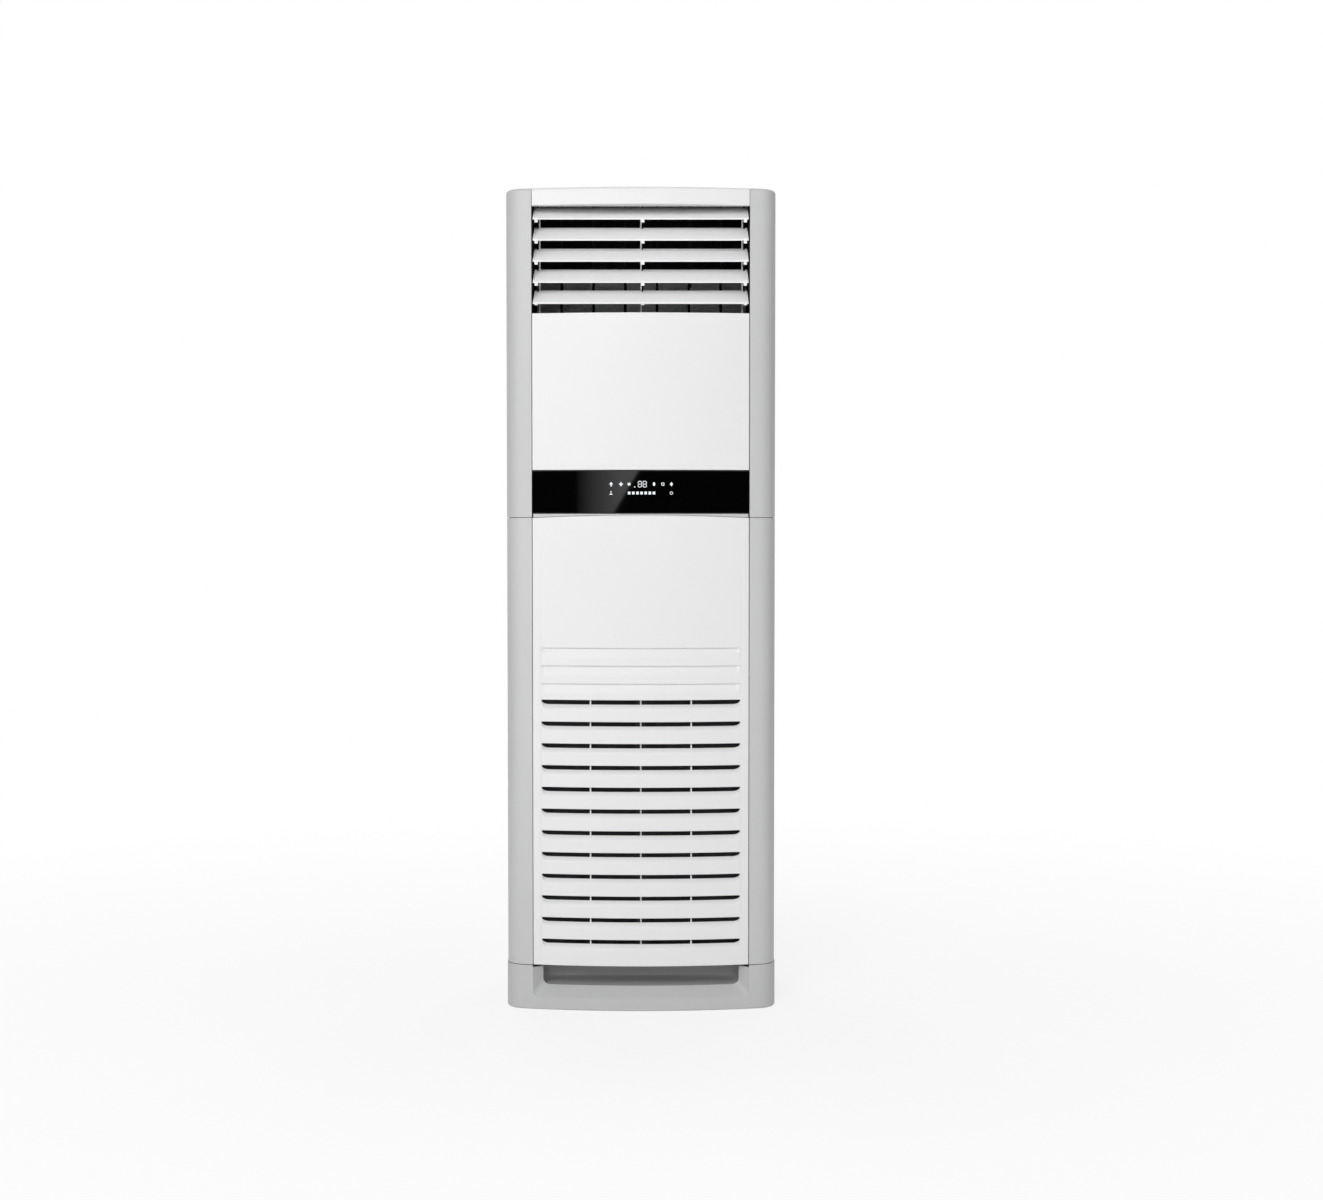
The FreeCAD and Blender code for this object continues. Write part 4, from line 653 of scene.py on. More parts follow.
# %% Tree helper
class Tree:
    """A Geometry Nodes tree with named sizes."""

    def __init__(self, name, sizes):
        self.group = bpy.data.node_groups.new(name, "GeometryNodeTree")
        for label in sizes:
            self.group.interface.new_socket(label, in_out="INPUT", socket_type="NodeSocketFloat")
        self.group.interface.new_socket("Material", in_out="INPUT", socket_type="NodeSocketMaterial")
        self.group.interface.new_socket("Geometry", in_out="OUTPUT", socket_type="NodeSocketGeometry")
        self.group.is_modifier = True
        self.sizes = self.group.nodes.new("NodeGroupInput").outputs

    def make(self, kind, inputs=None, **settings):
        """The geometry, or other first result, of a new node."""
        return add_node(self.group, kind, inputs, **settings).outputs[0]

    def math(self, operation, first, second=0.0):
        return self.make("ShaderNodeMath", {0: first, 1: second}, operation=operation)

    def times(self, first, second):
        return self.math("MULTIPLY", first, second)

    def vector(self, x=0.0, y=0.0, z=0.0):
        return self.make("ShaderNodeCombineXYZ", {"X": x, "Y": y, "Z": z})

    def spot(self):
        """The x, y and z of each point."""
        place = self.make("GeometryNodeInputPosition")
        return add_node(self.group, "ShaderNodeSeparateXYZ", {0: place}).outputs

    def box(self, x, y, z):
        return self.make("GeometryNodeMeshCube", {"Size": self.vector(x, y, z)})

    def cylinder(self, radius, depth):
        return self.make("GeometryNodeMeshCylinder", {"Vertices": 32, "Radius": radius, "Depth": depth})

    def move(self, geometry, place=(0, 0, 0), turn=(0, 0, 0), scale=(1, 1, 1)):
        return self.make("GeometryNodeTransform",
                         {"Geometry": geometry, "Translation": place, "Rotation": turn, "Scale": scale})

    def repeat(self, part, count, start, step):
        """Copies of a part on a row of points."""
        row = self.make("GeometryNodeMeshLine", {"Count": count, "Start Location": start, "Offset": step},
                        mode="OFFSET")
        return self.make("GeometryNodeInstanceOnPoints", {"Points": row, "Instance": part})

    def join(self, *parts):
        made = add_node(self.group, "GeometryNodeJoinGeometry")
        for part in parts:
            self.group.links.new(part, made.inputs[0])
        return made.outputs[0]

    def end(self, geometry):
        real = self.make("GeometryNodeRealizeInstances", {0: geometry})
        named = self.make("GeometryNodeSetMaterial", {"Geometry": real, "Material": self.sizes["Material"]})
        add_node(self.group, "NodeGroupOutput", {0: named})
        print(self.group.name, "nodes", len(self.group.nodes))

    def grow(self, name, finish, values, angle=SHARP_ANGLE):
        """One object made by the tree, as a plain mesh."""
        piece = put_in_scene(name, bpy.data.meshes.new(name))
        modifier = piece.modifiers.new("tree", "NODES")
        modifier.node_group = self.group
        for item in self.group.interface.items_tree:
            if item.in_out == "INPUT":
                value = finishes[finish] if item.name == "Material" else values[item.name]
                modifier[item.identifier] = value
        return settle(piece, angle)


# %% [markdown]
# ## Outlet blades
#
# Five white blades tilt together. A blade is a nearly flat section pushed along X, a little shorter at its
# rear edge. Under its front edge three small hooks hang beside the pivot strips. The tree draws the section
# as a rounded rectangle, sweeps it along X, bends it, adds the hooks and turns everything to its place at
# the pivot.

# %% Blade section
BLADES = 5
BLADE_PITCH = 0.0464
BLADE_EDGE = 0.0014
SECTION_STEP = 0.0014
blade_sizes = {
    "Chord": 0.061, "Thickness": 0.0032, "Camber": 0.0012, "Half Length": 0.2386, "Taper": 0.0016,
    "Arm": 0.014, "Tilt": math.radians(33.3), "Pivot Y": -0.0933, "Pivot Z": 1.6129,
    "Strip X": 0.2265, "Hook Gap": 0.0047, "Hook Width": 0.0072, "Hook Drop": 0.0084,
}
blades = Tree("outlet_blade", blade_sizes)
size = blades.sizes
section = blades.make("GeometryNodeCurvePrimitiveQuadrilateral",
                      {"Width": size["Chord"], "Height": size["Thickness"]})
soft = blades.make("GeometryNodeFilletCurve", {"Curve": section, "Radius": BLADE_EDGE, "Count": 3},
                   mode="POLY")
even = blades.make("GeometryNodeResampleCurve", {"Curve": soft, "Length": SECTION_STEP}, mode="LENGTH")
left_end = blades.vector(blades.times(size["Half Length"], -1.0))
right_end = blades.vector(size["Half Length"])
span = blades.make("GeometryNodeCurvePrimitiveLine", {"Start": left_end, "End": right_end})
swept = blades.make("GeometryNodeCurveToMesh", {"Curve": span, "Profile Curve": even, "Fill Caps": True})
print("blade section ready")

# %% [markdown]
# The sweep leaves the chord along one cross axis and the thickness along the other. The next nodes read
# each point's place, move it into the blade's own frame (chord along -Y from the pivot, thickness along Z),
# and bend it.

# %% Blade shape
spot = blades.spot()
chord_share = blades.math("DIVIDE", spot["Y"], size["Chord"])
arch = blades.math("SUBTRACT", 1.0, blades.math("POWER", blades.times(chord_share, 2.0), 2.0))
lift = blades.math("ADD", spot["Z"], blades.times(arch, size["Camber"]))
rear_share = blades.math("ADD", chord_share, 0.5)
shorter = blades.math("DIVIDE", blades.times(rear_share, size["Taper"]), size["Half Length"])
x_new = blades.times(spot["X"], blades.math("SUBTRACT", 1.0, shorter))
middle = blades.math("ADD", size["Arm"], blades.times(size["Chord"], 0.5))
y_new = blades.math("SUBTRACT", spot["Y"], middle)
new_place = blades.vector(x_new, y_new, lift)
bent = blades.make("GeometryNodeSetPosition", {"Geometry": swept, "Position": new_place})


def beside_strips(tree, part, gap):
    """Repeats a part beside the three pivot strips: outside the outer two, right of the middle one."""
    places = []
    for strip, beside in ((-1.0, -1.0), (0.0, 1.0), (1.0, 1.0)):
        strip_x = tree.times(tree.sizes["Strip X"], strip)
        part_x = tree.math("ADD", strip_x, tree.times(gap, beside))
        places.append(tree.move(part, tree.vector(part_x)))
    return tree.join(*places)


def stand_at_pivot(tree, part):
    """Tilts a part about the X axis and moves it to the pivot."""
    pivot = tree.vector(0.0, tree.sizes["Pivot Y"], tree.sizes["Pivot Z"])
    return tree.move(part, pivot, tree.vector(tree.sizes["Tilt"]))


HOOK_DEPTH = 0.0045
HOOK_SETBACK = 0.001
hook = blades.box(size["Hook Width"], HOOK_DEPTH, size["Hook Drop"])
front_edge = blades.math("ADD", size["Arm"], size["Chord"])
hook_y = blades.math("SUBTRACT", HOOK_DEPTH / 2 + HOOK_SETBACK, front_edge)
hook = blades.move(hook, blades.vector(0.0, hook_y, blades.times(size["Hook Drop"], -0.5)))
hooks = beside_strips(blades, hook, size["Hook Gap"])
blades.end(stand_at_pivot(blades, blades.join(bent, hooks)))

# %% [markdown]
# Each blade also has three dark clips that hold its pivot pins. They hide behind the blade, so they are a
# second, simple tree: a round eye at the pivot and an arm that reaches forward under the blade.

# %% Blade clips
ARM_TO_EYE = 1.1
clip_sizes = {
    "Arm": 0.022, "Tilt": blade_sizes["Tilt"], "Pivot Y": blade_sizes["Pivot Y"], "Pivot Z": 0.0,
    "Strip X": blade_sizes["Strip X"], "Clip Gap": 0.0033, "Clip Wall": 0.003, "Eye Radius": 0.006,
}
clips = Tree("blade_clip", clip_sizes)
size = clips.sizes
eye = clips.move(clips.cylinder(size["Eye Radius"], size["Clip Wall"]), turn=(0, QUARTER_TURN, 0))
arm_height = clips.times(size["Eye Radius"], ARM_TO_EYE)
arm = clips.box(size["Clip Wall"], size["Arm"], arm_height)
arm = clips.move(arm, clips.vector(0.0, clips.times(size["Arm"], -0.5)))
clips.end(stand_at_pivot(clips, beside_strips(clips, clips.join(eye, arm), size["Clip Gap"])))

# %% The finished blades
LOWEST_HOOK_DROP = 0.0045  # the lowest blade has shorter hooks, which clear the duct when it tilts down
for index in range(BLADES):
    body = f"louver_{index + 1}"
    pivot_z = blade_sizes["Pivot Z"] + BLADE_PITCH * index
    hook_drop = blade_sizes["Hook Drop"] if index else LOWEST_HOOK_DROP
    blade = blades.grow(f"outlet_blade_{index + 1}", "louver_white",
                        {**blade_sizes, "Pivot Z": pivot_z, "Hook Drop": hook_drop})
    fit(blade, body, "louver_white", body)
    clip_set = clips.grow(f"blade_clips_{index + 1}", "duct_black", {**clip_sizes, "Pivot Z": pivot_z})
    fit(clip_set, body, "duct_black")

# %% [markdown]
# ## Top bar
#
# A narrow white bar closes the outlet above. Its section is a U on its side: a flat soffit over the blades,
# a rounded lower edge, a short upright face, a soft shoulder and a flat top that runs back to the lid. The
# section follows the bow from column to column; only the soffit's rear edge and the top's rear edge are
# straight.

# %% Top bar
BAR_EDGE = 0.003
SOFFIT_BACK = -0.1512
z_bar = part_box("top_bar")[0].z
bar_section = [(BAR_EDGE + SUPPORT, z_bar)]
bar_section += [(inset, z_bar + away) for away, inset in rounding(BAR_EDGE, EDGE_STEPS)]
bar_section += [(0.0, z_bar + BAR_EDGE + SUPPORT)] + shoulder
bar_stations = spaced(-x_panel, x_panel, FACE_STEPS)
bar_rows = [[(x, SOFFIT_BACK, z_bar) for x in bar_stations]]
bar_rows += [[(x, bow(x, inset), z) for x in bar_stations] for inset, z in bar_section]
bar_rows.append([(x, column_back, z_top) for x in bar_stations])
fit(shell("top_bar_shell", bar_rows, SKIN), "cabinet", "panel_white", "top_bar")

# %% [markdown]
# ## Plinth
#
# The plinth is a skirt with a flared recess for the fingers that pull the panel open. The recess is a loft
# of U-shaped rings: the first lies on the bowed front, the next is smaller and deeper, and the last ones
# are the pocket behind it, drawn in at the end for its round rear corners. The skirt is drawn as strips
# from the floor up to the first ring, with a rounded foot.

# %% Plinth rings
PLINTH_PROUD = 0.0015
RECESS_TOP = 0.094
RECESS_LIP = 0.028
RECESS_SLOPE = 0.052
RECESS_FLOOR = 0.050
RECESS_TAPER = 0.022
SLOPE_DEPTH = 0.025
SLOPE_SHARES = (0.03, 0.5, 0.97)
FLOOR_STEP = 0.003
POCKET_BACK = -0.062
POCKET_END_ROUND = 0.024
POCKET_BACK_ROUND = 0.006
OUTER_CORNER = 0.010
INNER_CORNER = 0.014
ARC_STEPS = 8
BASE_STEPS = 33
x_pocket = x_column - RECESS_TAPER


def u_ring(x_side, z_floor, corner):
    """A U in front view, from the top left down, along the floor and up to the top right."""
    right = [(x_side, RECESS_TOP)]
    x_centre = x_side - corner
    z_centre = z_floor + corner
    for angle in spaced(0.0, -QUARTER_TURN, ARC_STEPS):
        right.append((x_centre + corner * math.cos(angle), z_centre + corner * math.sin(angle)))
    left = [(-x, z) for x, z in right]
    base = [(x, z_floor) for x in spaced(-x_side + corner, x_side - corner, BASE_STEPS)][1:-1]
    return left + base + list(reversed(right))


outer_ring = u_ring(x_column, RECESS_LIP, OUTER_CORNER)
inner_ring = u_ring(x_pocket, RECESS_SLOPE, INNER_CORNER)
floor_ring = u_ring(x_pocket, RECESS_FLOOR, INNER_CORNER)
recess_rows = [[(x, bow(x, -PLINTH_PROUD), z) for x, z in outer_ring]]
for share in SLOPE_SHARES:
    row = []
    for (x0, z0), (x1, z1) in zip(outer_ring, inner_ring):
        x = x0 + (x1 - x0) * share
        row.append((x, bow(x, -PLINTH_PROUD + SLOPE_DEPTH * share), z0 + (z1 - z0) * share))
    recess_rows.append(row)
recess_rows.append([(x, bow(x, SLOPE_DEPTH - PLINTH_PROUD), z) for x, z in inner_ring])
recess_rows.append([(x, bow(x, SLOPE_DEPTH - PLINTH_PROUD) + FLOOR_STEP, z) for x, z in floor_ring])
for drawn_in, ahead in rounding(1.0, ARC_STEPS):
    x_end = x_pocket - POCKET_END_ROUND * drawn_in
    z_floor = RECESS_FLOOR + POCKET_BACK_ROUND * drawn_in
    y = POCKET_BACK - POCKET_END_ROUND * ahead
    recess_rows.append([(x, y, z) for x, z in u_ring(x_end, z_floor, INNER_CORNER)])
print("recess rings", len(recess_rows), "of", len(outer_ring), "points")

# %% Plinth skirt
FOOT_ROUND = 0.004
FOOT_STEPS = 6
PLINTH_SHARP = 28
plinth_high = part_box("plinth")[1]
foot = [(inset, rise) for rise, inset in rounding(FOOT_ROUND, FOOT_STEPS)]
foot.append((0.0, FOOT_ROUND + SUPPORT))
plinth_points = []
plinth_faces = []


def add_part(rows, faces):
    """Adds rows of points, and the faces between them, to the plinth."""
    start = len(plinth_points)
    plinth_points.extend(point for row in rows for point in row)
    plinth_faces.extend(tuple(start + index for index in face) for face in faces)


recess_faces = grid_faces(len(recess_rows), len(outer_ring))
point_count = len(recess_rows) * len(outer_ring)
recess_faces.append(tuple(range(point_count - len(outer_ring), point_count)))
add_part(recess_rows, recess_faces)

front_lines = []
for x, z in outer_ring:
    if not front_lines or abs(x - front_lines[-1][0][0]) > MERGE:
        y = bow(x, -PLINTH_PROUD)
        front_lines.append([(x, y + inset, z_foot) for inset, z_foot in foot] + [(x, y, z)])
skirt_rows = list(zip(*front_lines))
add_part(skirt_rows, grid_faces(len(skirt_rows), len(skirt_rows[0])))

cheek_lines = foot + [(0.0, RECESS_LIP + OUTER_CORNER), (0.0, RECESS_TOP), (0.0, plinth_high.z)]
for side in (-1, 1):
    rows = []
    for inset, z in cheek_lines:
        plan = corner_plan(x_column, plinth_high.y, inset - PLINTH_PROUD)
        rows.append([(side * x, y, z) for x, y in plan])
    add_part(rows, side_faces(rows, side))

# %% [markdown]
# The parts of the plinth were drawn in different directions, so their faces are made to agree with each
# other once the doubles are merged, and are then turned to the front together. Only then comes the wall.

# %% Finished plinth
plinth = make_piece("plinth_shell", plinth_points, plinth_faces, (0, -1, 0), agree=True)
thicken(plinth, SKIN)
fit(settle(plinth, PLINTH_SHARP), "cabinet", "column_silver", "plinth", finish="plinth_silver")

# %% [markdown]
# ## Lid
#
# The lid's CAD shape is right, but its mesh is faceted at the rounded edges, because its triangles are
# loose. A copy with its doubles merged can be shaded smooth, while the CAD piece itself stays as it is.

# %% Lid
LID_SHARP = 25
lid = put_in_scene("lid_shell", nodes["top_cover"].data.copy())
form = bmesh.new()
form.from_mesh(lid.data)
bmesh.ops.remove_doubles(form, verts=form.verts, dist=MERGE)
form.to_mesh(lid.data)
form.free()
shade(lid.data, LID_SHARP)
fit(lid, "cabinet", "cabinet_sheet", "top_cover")

# %% [markdown]
# ## Grille ribs
#
# Behind the slots, thin upright ribs tie the bars together. A tree places one long box per rib on a row of
# points, so the spacing of the ribs and their sizes are inputs.

# %% Ribs
RIBS = 3
RIB_SPACING = 0.112
RIB_SETBACK = 0.0125
rib_sizes = {"Spacing": RIB_SPACING, "Wall": 0.003, "Depth": 0.008, "Height": 0.57, "Middle Z": 0.4205,
             "Face Y": bow(RIB_SPACING) + RIB_SETBACK}
ribs = Tree("grille_ribs", rib_sizes)
size = ribs.sizes
rib = ribs.box(size["Wall"], size["Depth"], size["Height"])
first_rib = ribs.vector(ribs.times(size["Spacing"], -1.0), size["Face Y"], size["Middle Z"])
ribs.end(ribs.repeat(rib, RIBS, first_rib, ribs.vector(size["Spacing"])))
fit(ribs.grow("grille_rib_set", "panel_white", rib_sizes), "intake_panel", "panel_white")

# %% [markdown]
# ## Screws at the rear
#
# Ten cross-head screws hold the rear sheet. One head is a short cylinder with two crossed bars cut out of
# it; the tree repeats it on a grid of points along both edges.

# %% Screws
SCREW_COLUMNS = 2
SCREW_ROWS = 5
HEAD_RADIUS = 0.004
CROSS_LENGTH = 0.0046
CROSS_WIDTH = 0.0009
CROSS_DEPTH = 0.0016
screw_low, screw_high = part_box("cabinet_screws")
screw_sizes = {"Width": screw_high.x - screw_low.x - 2 * HEAD_RADIUS,
               "Height": screw_high.z - screw_low.z - 2 * HEAD_RADIUS,
               "Radius": HEAD_RADIUS, "Head": 0.0022,
               "Face Y": screw_high.y, "Middle Z": (screw_low.z + screw_high.z) / 2}
screws = Tree("rear_screws", screw_sizes)
size = screws.sizes
grid = screws.make("GeometryNodeMeshGrid", {"Size X": size["Width"], "Size Y": size["Height"],
                                            "Vertices X": SCREW_COLUMNS, "Vertices Y": SCREW_ROWS})
head = screws.cylinder(size["Radius"], size["Head"])
long_bar = screws.box(CROSS_LENGTH, CROSS_WIDTH, CROSS_DEPTH)
cross_bar = screws.box(CROSS_WIDTH, CROSS_LENGTH, CROSS_DEPTH)
outer_face = screws.vector(z=screws.times(size["Head"], -0.5))
cross = screws.move(screws.join(long_bar, cross_bar), outer_face)
cut = screws.make("GeometryNodeMeshBoolean", {"Mesh 1": head, "Mesh 2": cross, "Self Intersection": True},
                  operation="DIFFERENCE", solver="EXACT")
heads = screws.make("GeometryNodeInstanceOnPoints", {"Points": grid, "Instance": cut})
y_middle = screws.math("SUBTRACT", size["Face Y"], screws.times(size["Head"], 0.5))
rear_place = screws.vector(0.0, y_middle, size["Middle Z"])
screws.end(screws.move(heads, rear_place, (QUARTER_TURN, 0, 0)))
fit(screws.grow("rear_screw_heads", "steel", screw_sizes), "cabinet", "steel", "cabinet_screws")

# %% [markdown]
# ## Beads of the rear sheet
#
# A large thin sheet would drum, so beads are pressed into it. Each one is a long flat capsule: the tree
# takes a sphere, pulls its two halves apart along X, flattens it and repeats it up the sheet.

# %% Beads
BEADS = 5
BEAD_SHARP = 60
bead_sizes = {"Half Length": 0.2, "Radius": 0.0085, "Flat": 0.23, "Spacing": 0.27, "First Z": 0.36,
              "Face Y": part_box("rear_panel")[1].y}
beads = Tree("rear_beads", bead_sizes)
size = beads.sizes
ball = beads.make("GeometryNodeMeshUVSphere", {"Segments": 24, "Rings": 11, "Radius": size["Radius"]})
ball = beads.move(ball, turn=(0, QUARTER_TURN, 0))
side_sign = beads.math("SIGN", beads.spot()["X"])
apart = beads.vector(beads.times(side_sign, size["Half Length"]))
capsule = beads.make("GeometryNodeSetPosition", {"Geometry": ball, "Offset": apart})
flat = beads.move(capsule, scale=beads.vector(1.0, size["Flat"], 1.0))
first_bead = beads.vector(0.0, size["Face Y"], size["First Z"])
beads.end(beads.repeat(flat, BEADS, first_bead, beads.vector(0.0, 0.0, size["Spacing"])))
fit(beads.grow("rear_bead_set", "cabinet_sheet", bead_sizes, BEAD_SHARP), "cabinet", "cabinet_sheet")

# %% [markdown]
# ## Seal under the lid
#
# A strip of dark foam closes the joint between the rear sheet and the lid. From the front it is what the
# highest gap of the outlet shows, so it keeps that gap black.

# %% Lid seal
SEAL_HALF = 0.28
SEAL_FRONT = 0.1655
SEAL_DEPTH = 0.0067
SEAL_LOW = 1.772
SEAL_HIGH = 1.816
seal_rows = [[(x, SEAL_FRONT, z) for x in (-SEAL_HALF, SEAL_HALF)] for z in (SEAL_LOW, SEAL_HIGH)]
fit(shell("lid_seal", seal_rows, SEAL_DEPTH), "cabinet", "foam")

# %% [markdown]
# ## Foam rings at the wall bolts
#
# Two bolts can tie the cabinet to a wall. The foam liner is cut away round their holes, and a ring of the
# same foam fills each cut, so that no bare sheet gleams behind the outlet. A ring could be two cylinders
# and a boolean, but sweeping a small rectangle round a circle gives the same solid with clean faces.

# %% Foam rings
RING_GAP = 0.0005
CUT_TO_BOLT = 3
MM_PER_M = 1000
RING_SHARP = 50
wall_holes = next(mount for mount in frame["record"]["mounts"] if mount["name"] == "rear_wall_holes")
bolts = wall_holes["dims"]
bolt_radius = bolts["hole_r_mm"] / MM_PER_M
ring_inside = bolt_radius + 2 * RING_GAP
ring_outside = CUT_TO_BOLT * bolt_radius - RING_GAP
ring_sizes = {"Radius": (ring_inside + ring_outside) / 2, "Width": ring_outside - ring_inside, "Depth": 0.006,
              "Spacing": bolts["spacing_x_mm"] / MM_PER_M, "Middle Z": wall_holes["pos_m"][2],
              "Back Y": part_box("rear_liner")[1].y - RING_GAP}
rings = Tree("bolt_rings", ring_sizes)
size = rings.sizes
circle = rings.make("GeometryNodeCurvePrimitiveCircle", {"Resolution": 40, "Radius": size["Radius"]})
section = rings.make("GeometryNodeCurvePrimitiveQuadrilateral",
                     {"Width": size["Width"], "Height": size["Depth"]})
ring = rings.make("GeometryNodeCurveToMesh", {"Curve": circle, "Profile Curve": section})
ring = rings.move(ring, turn=(QUARTER_TURN, 0, 0))
y_middle = rings.math("SUBTRACT", size["Back Y"], rings.times(size["Depth"], 0.5))
first_ring = rings.vector(rings.times(size["Spacing"], -0.5), y_middle, size["Middle Z"])
rings.end(rings.repeat(ring, bolts["count"], first_ring, rings.vector(size["Spacing"])))
fit(rings.grow("bolt_foam_rings", "foam", ring_sizes, RING_SHARP), "cabinet", "foam")

# %% [markdown]
# ## Lit symbols
#
# Behind the black window a few symbols glow. They are thin plates on the window's bowed face: small
# pictures made of bars, two figures made of seven bars each, and a row of squares. They only use general
# signs.

# %% Symbol helpers
STROKE = 0.0015
glow_shapes = []


def plate(x, z, corners):
    """One small lit plate; its corners are given around its middle, counterclockwise."""
    glow_shapes.append([(x + dx, z + dz) for dx, dz in corners])


def triangle(x, z, wide, foot, tip):
    plate(x, z, [(-wide / 2, foot), (wide / 2, foot), (0.0, tip)])


def bar(x, z, width, height, angle=0.0):
    """One lit bar, turned by angle."""
    corners = []
    for across, up in ((-1, -1), (1, -1), (1, 1), (-1, 1)):
        dx = across * width / 2
        dz = up * height / 2
        turned_x = dx * math.cos(angle) - dz * math.sin(angle)
        turned_z = dx * math.sin(angle) + dz * math.cos(angle)
        corners.append((turned_x, turned_z))
    plate(x, z, corners)


def round_plate(x, z, wide, high, sides=12):
    """A filled ellipse, or a diamond with four sides."""
    angles = [2 * math.pi * step / sides for step in range(sides)]
    plate(x, z, [(wide / 2 * math.cos(angle), high / 2 * math.sin(angle)) for angle in angles])


def outline(x, z, reach, stroke, sides):
    """The outline of a regular polygon."""
    length = 2 * reach * math.tan(math.pi / sides)
    for step in range(sides):
        angle = 2 * math.pi * step / sides
        bar(x + reach * math.cos(angle), z + reach * math.sin(angle), stroke, length, angle)


def figure_eight(x, z, wide, high):
    """A seven-bar figure with all bars lit."""
    for dz in (-high / 2, 0, high / 2):
        bar(x, z + dz, wide - STROKE, STROKE)
    for dx in (-wide / 2, wide / 2):
        for dz in (-high / 4, high / 4):
            bar(x + dx, z + dz, STROKE, high / 2 - STROKE)


# %% Symbols
ROW_HIGH = 1.1728
ROW_LOW = 1.1532
ARROW_X = -0.0651
ARROW_STEM = 0.0027
PLUS_X = -0.0434
STAR_X = -0.0257
STAR_BARS = 3
STAR_TURN = 0.1
POINT_X = -0.0131
POINT_DROP = 0.0062
FIGURES_X = (-0.0016, 0.0091)
DROP_X = 0.0296
FRAME_X = 0.0489
RIGHT_X = 0.0679
BELL_X = -0.0653
BELL_KNOB = 0.0026
SQUARES_X = -0.0253
SQUARES = 7
SQUARE_PITCH = 0.00912

triangle(ARROW_X, ROW_HIGH, wide=0.009, foot=-0.0002, tip=0.0046)
bar(ARROW_X, ROW_HIGH - ARROW_STEM, width=0.003, height=0.0044)
for angle in (0.0, QUARTER_TURN):
    bar(PLUS_X, ROW_HIGH, width=0.0088, height=0.0028, angle=angle)
for step in range(STAR_BARS):
    bar(STAR_X, ROW_HIGH, width=0.0078, height=0.0016, angle=math.pi * (STAR_TURN + step / STAR_BARS))
bar(POINT_X, ROW_HIGH - POINT_DROP, width=0.0024, height=0.0024)
for x in FIGURES_X:
    figure_eight(x, ROW_HIGH, wide=0.0074, high=0.0128)
round_plate(DROP_X, ROW_HIGH, wide=0.0052, high=0.0086)
outline(FRAME_X, ROW_HIGH, reach=0.0026, stroke=0.0016, sides=4)
round_plate(RIGHT_X, ROW_HIGH, wide=0.0066, high=0.0098, sides=4)
triangle(BELL_X, ROW_LOW, wide=0.0084, foot=-0.0036, tip=0.0002)
round_plate(BELL_X, ROW_LOW + BELL_KNOB, wide=0.003, high=0.003)
for step in range(SQUARES):
    bar(SQUARES_X + SQUARE_PITCH * step, ROW_LOW, width=0.0056, height=0.0062)
outline(RIGHT_X, ROW_LOW, reach=0.0028, stroke=0.0012, sides=6)
print("lit shapes", len(glow_shapes))

# %% Symbol mesh and glow
GLOW_PROUD = 0.00015
GLOW_STRENGTH = 0.55
glow_points = []
glow_faces = []
for corners in glow_shapes:
    start = len(glow_points)
    count = len(corners)
    for proud in (0.0, GLOW_PROUD):
        glow_points += [(x, bow(x, -proud), z) for x, z in corners]
    glow_faces.append(tuple(range(start + count, start + 2 * count)))
    glow_faces.append(tuple(reversed(range(start, start + count))))
    for edge in range(count):
        after = (edge + 1) % count
        glow_faces.append((start + edge, start + after, start + count + after, start + count + edge))
glow_mesh = bpy.data.meshes.new("lit_symbols")
glow_mesh.from_pydata(glow_points, [], glow_faces)
glow = Finish("symbol_glow", rough=0.4)
patch = glow.noise(scale=900.0, detail=2.0)
glow.tone(patch, dark=(0.5, 0.53, 0.55), light=(0.62, 0.65, 0.67))
ramp = glow.add("ShaderNodeValToRGB", {"Fac": patch})
ramp.color_ramp.elements[0].color = (0.55, 0.62, 0.66, 1)
ramp.color_ramp.elements[1].color = (0.7, 0.76, 0.8, 1)
glow.drive("Emission Color", ramp.outputs["Color"])
glow.shader.inputs["Emission Strength"].default_value = GLOW_STRENGTH
fit(put_in_scene("lit_symbols", glow_mesh), "cabinet", "display_black", finish="symbol_glow")

# %% [markdown]
# ## Stage, light and camera
#
# The object stands on a pale floor in a white world. Both are white for the camera, for reflections and
# through glass, and much dimmer for the rays that light the object, so the white background adds
# little light. Near the object the floor is a mix of that white and a matte grey, which keeps a soft shadow.

# %% Stage helpers
def seen_rays(tree):
    """1 for camera, glossy and transmission rays, and 0 for the rays that light things."""
    paths = add_node(tree, "ShaderNodeLightPath").outputs
    seen = paths["Is Camera Ray"]
    for kind in ("Is Glossy Ray", "Is Transmission Ray"):
        seen = add_node(tree, "ShaderNodeMath", {0: seen, 1: paths[kind]}, operation="MAXIMUM").outputs[0]
    return seen


def end_in_mix(tree, share, unseen, seen, output):
    """Ends a tree in a mix of the shader for unseen rays and the shader for seen ones."""
    mixed = add_node(tree, "ShaderNodeMixShader", {0: share, 1: unseen.outputs[0], 2: seen.outputs[0]})
    add_node(tree, output, {"Surface": mixed.outputs[0]})


def stage_sheet(name, corners, material):
    mesh = bpy.data.meshes.new(name)
    mesh.from_pydata(corners, [], [tuple(range(len(corners)))])
    mesh.materials.append(material)
    made = put_in_scene(name, mesh)
    made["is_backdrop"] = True
    return made


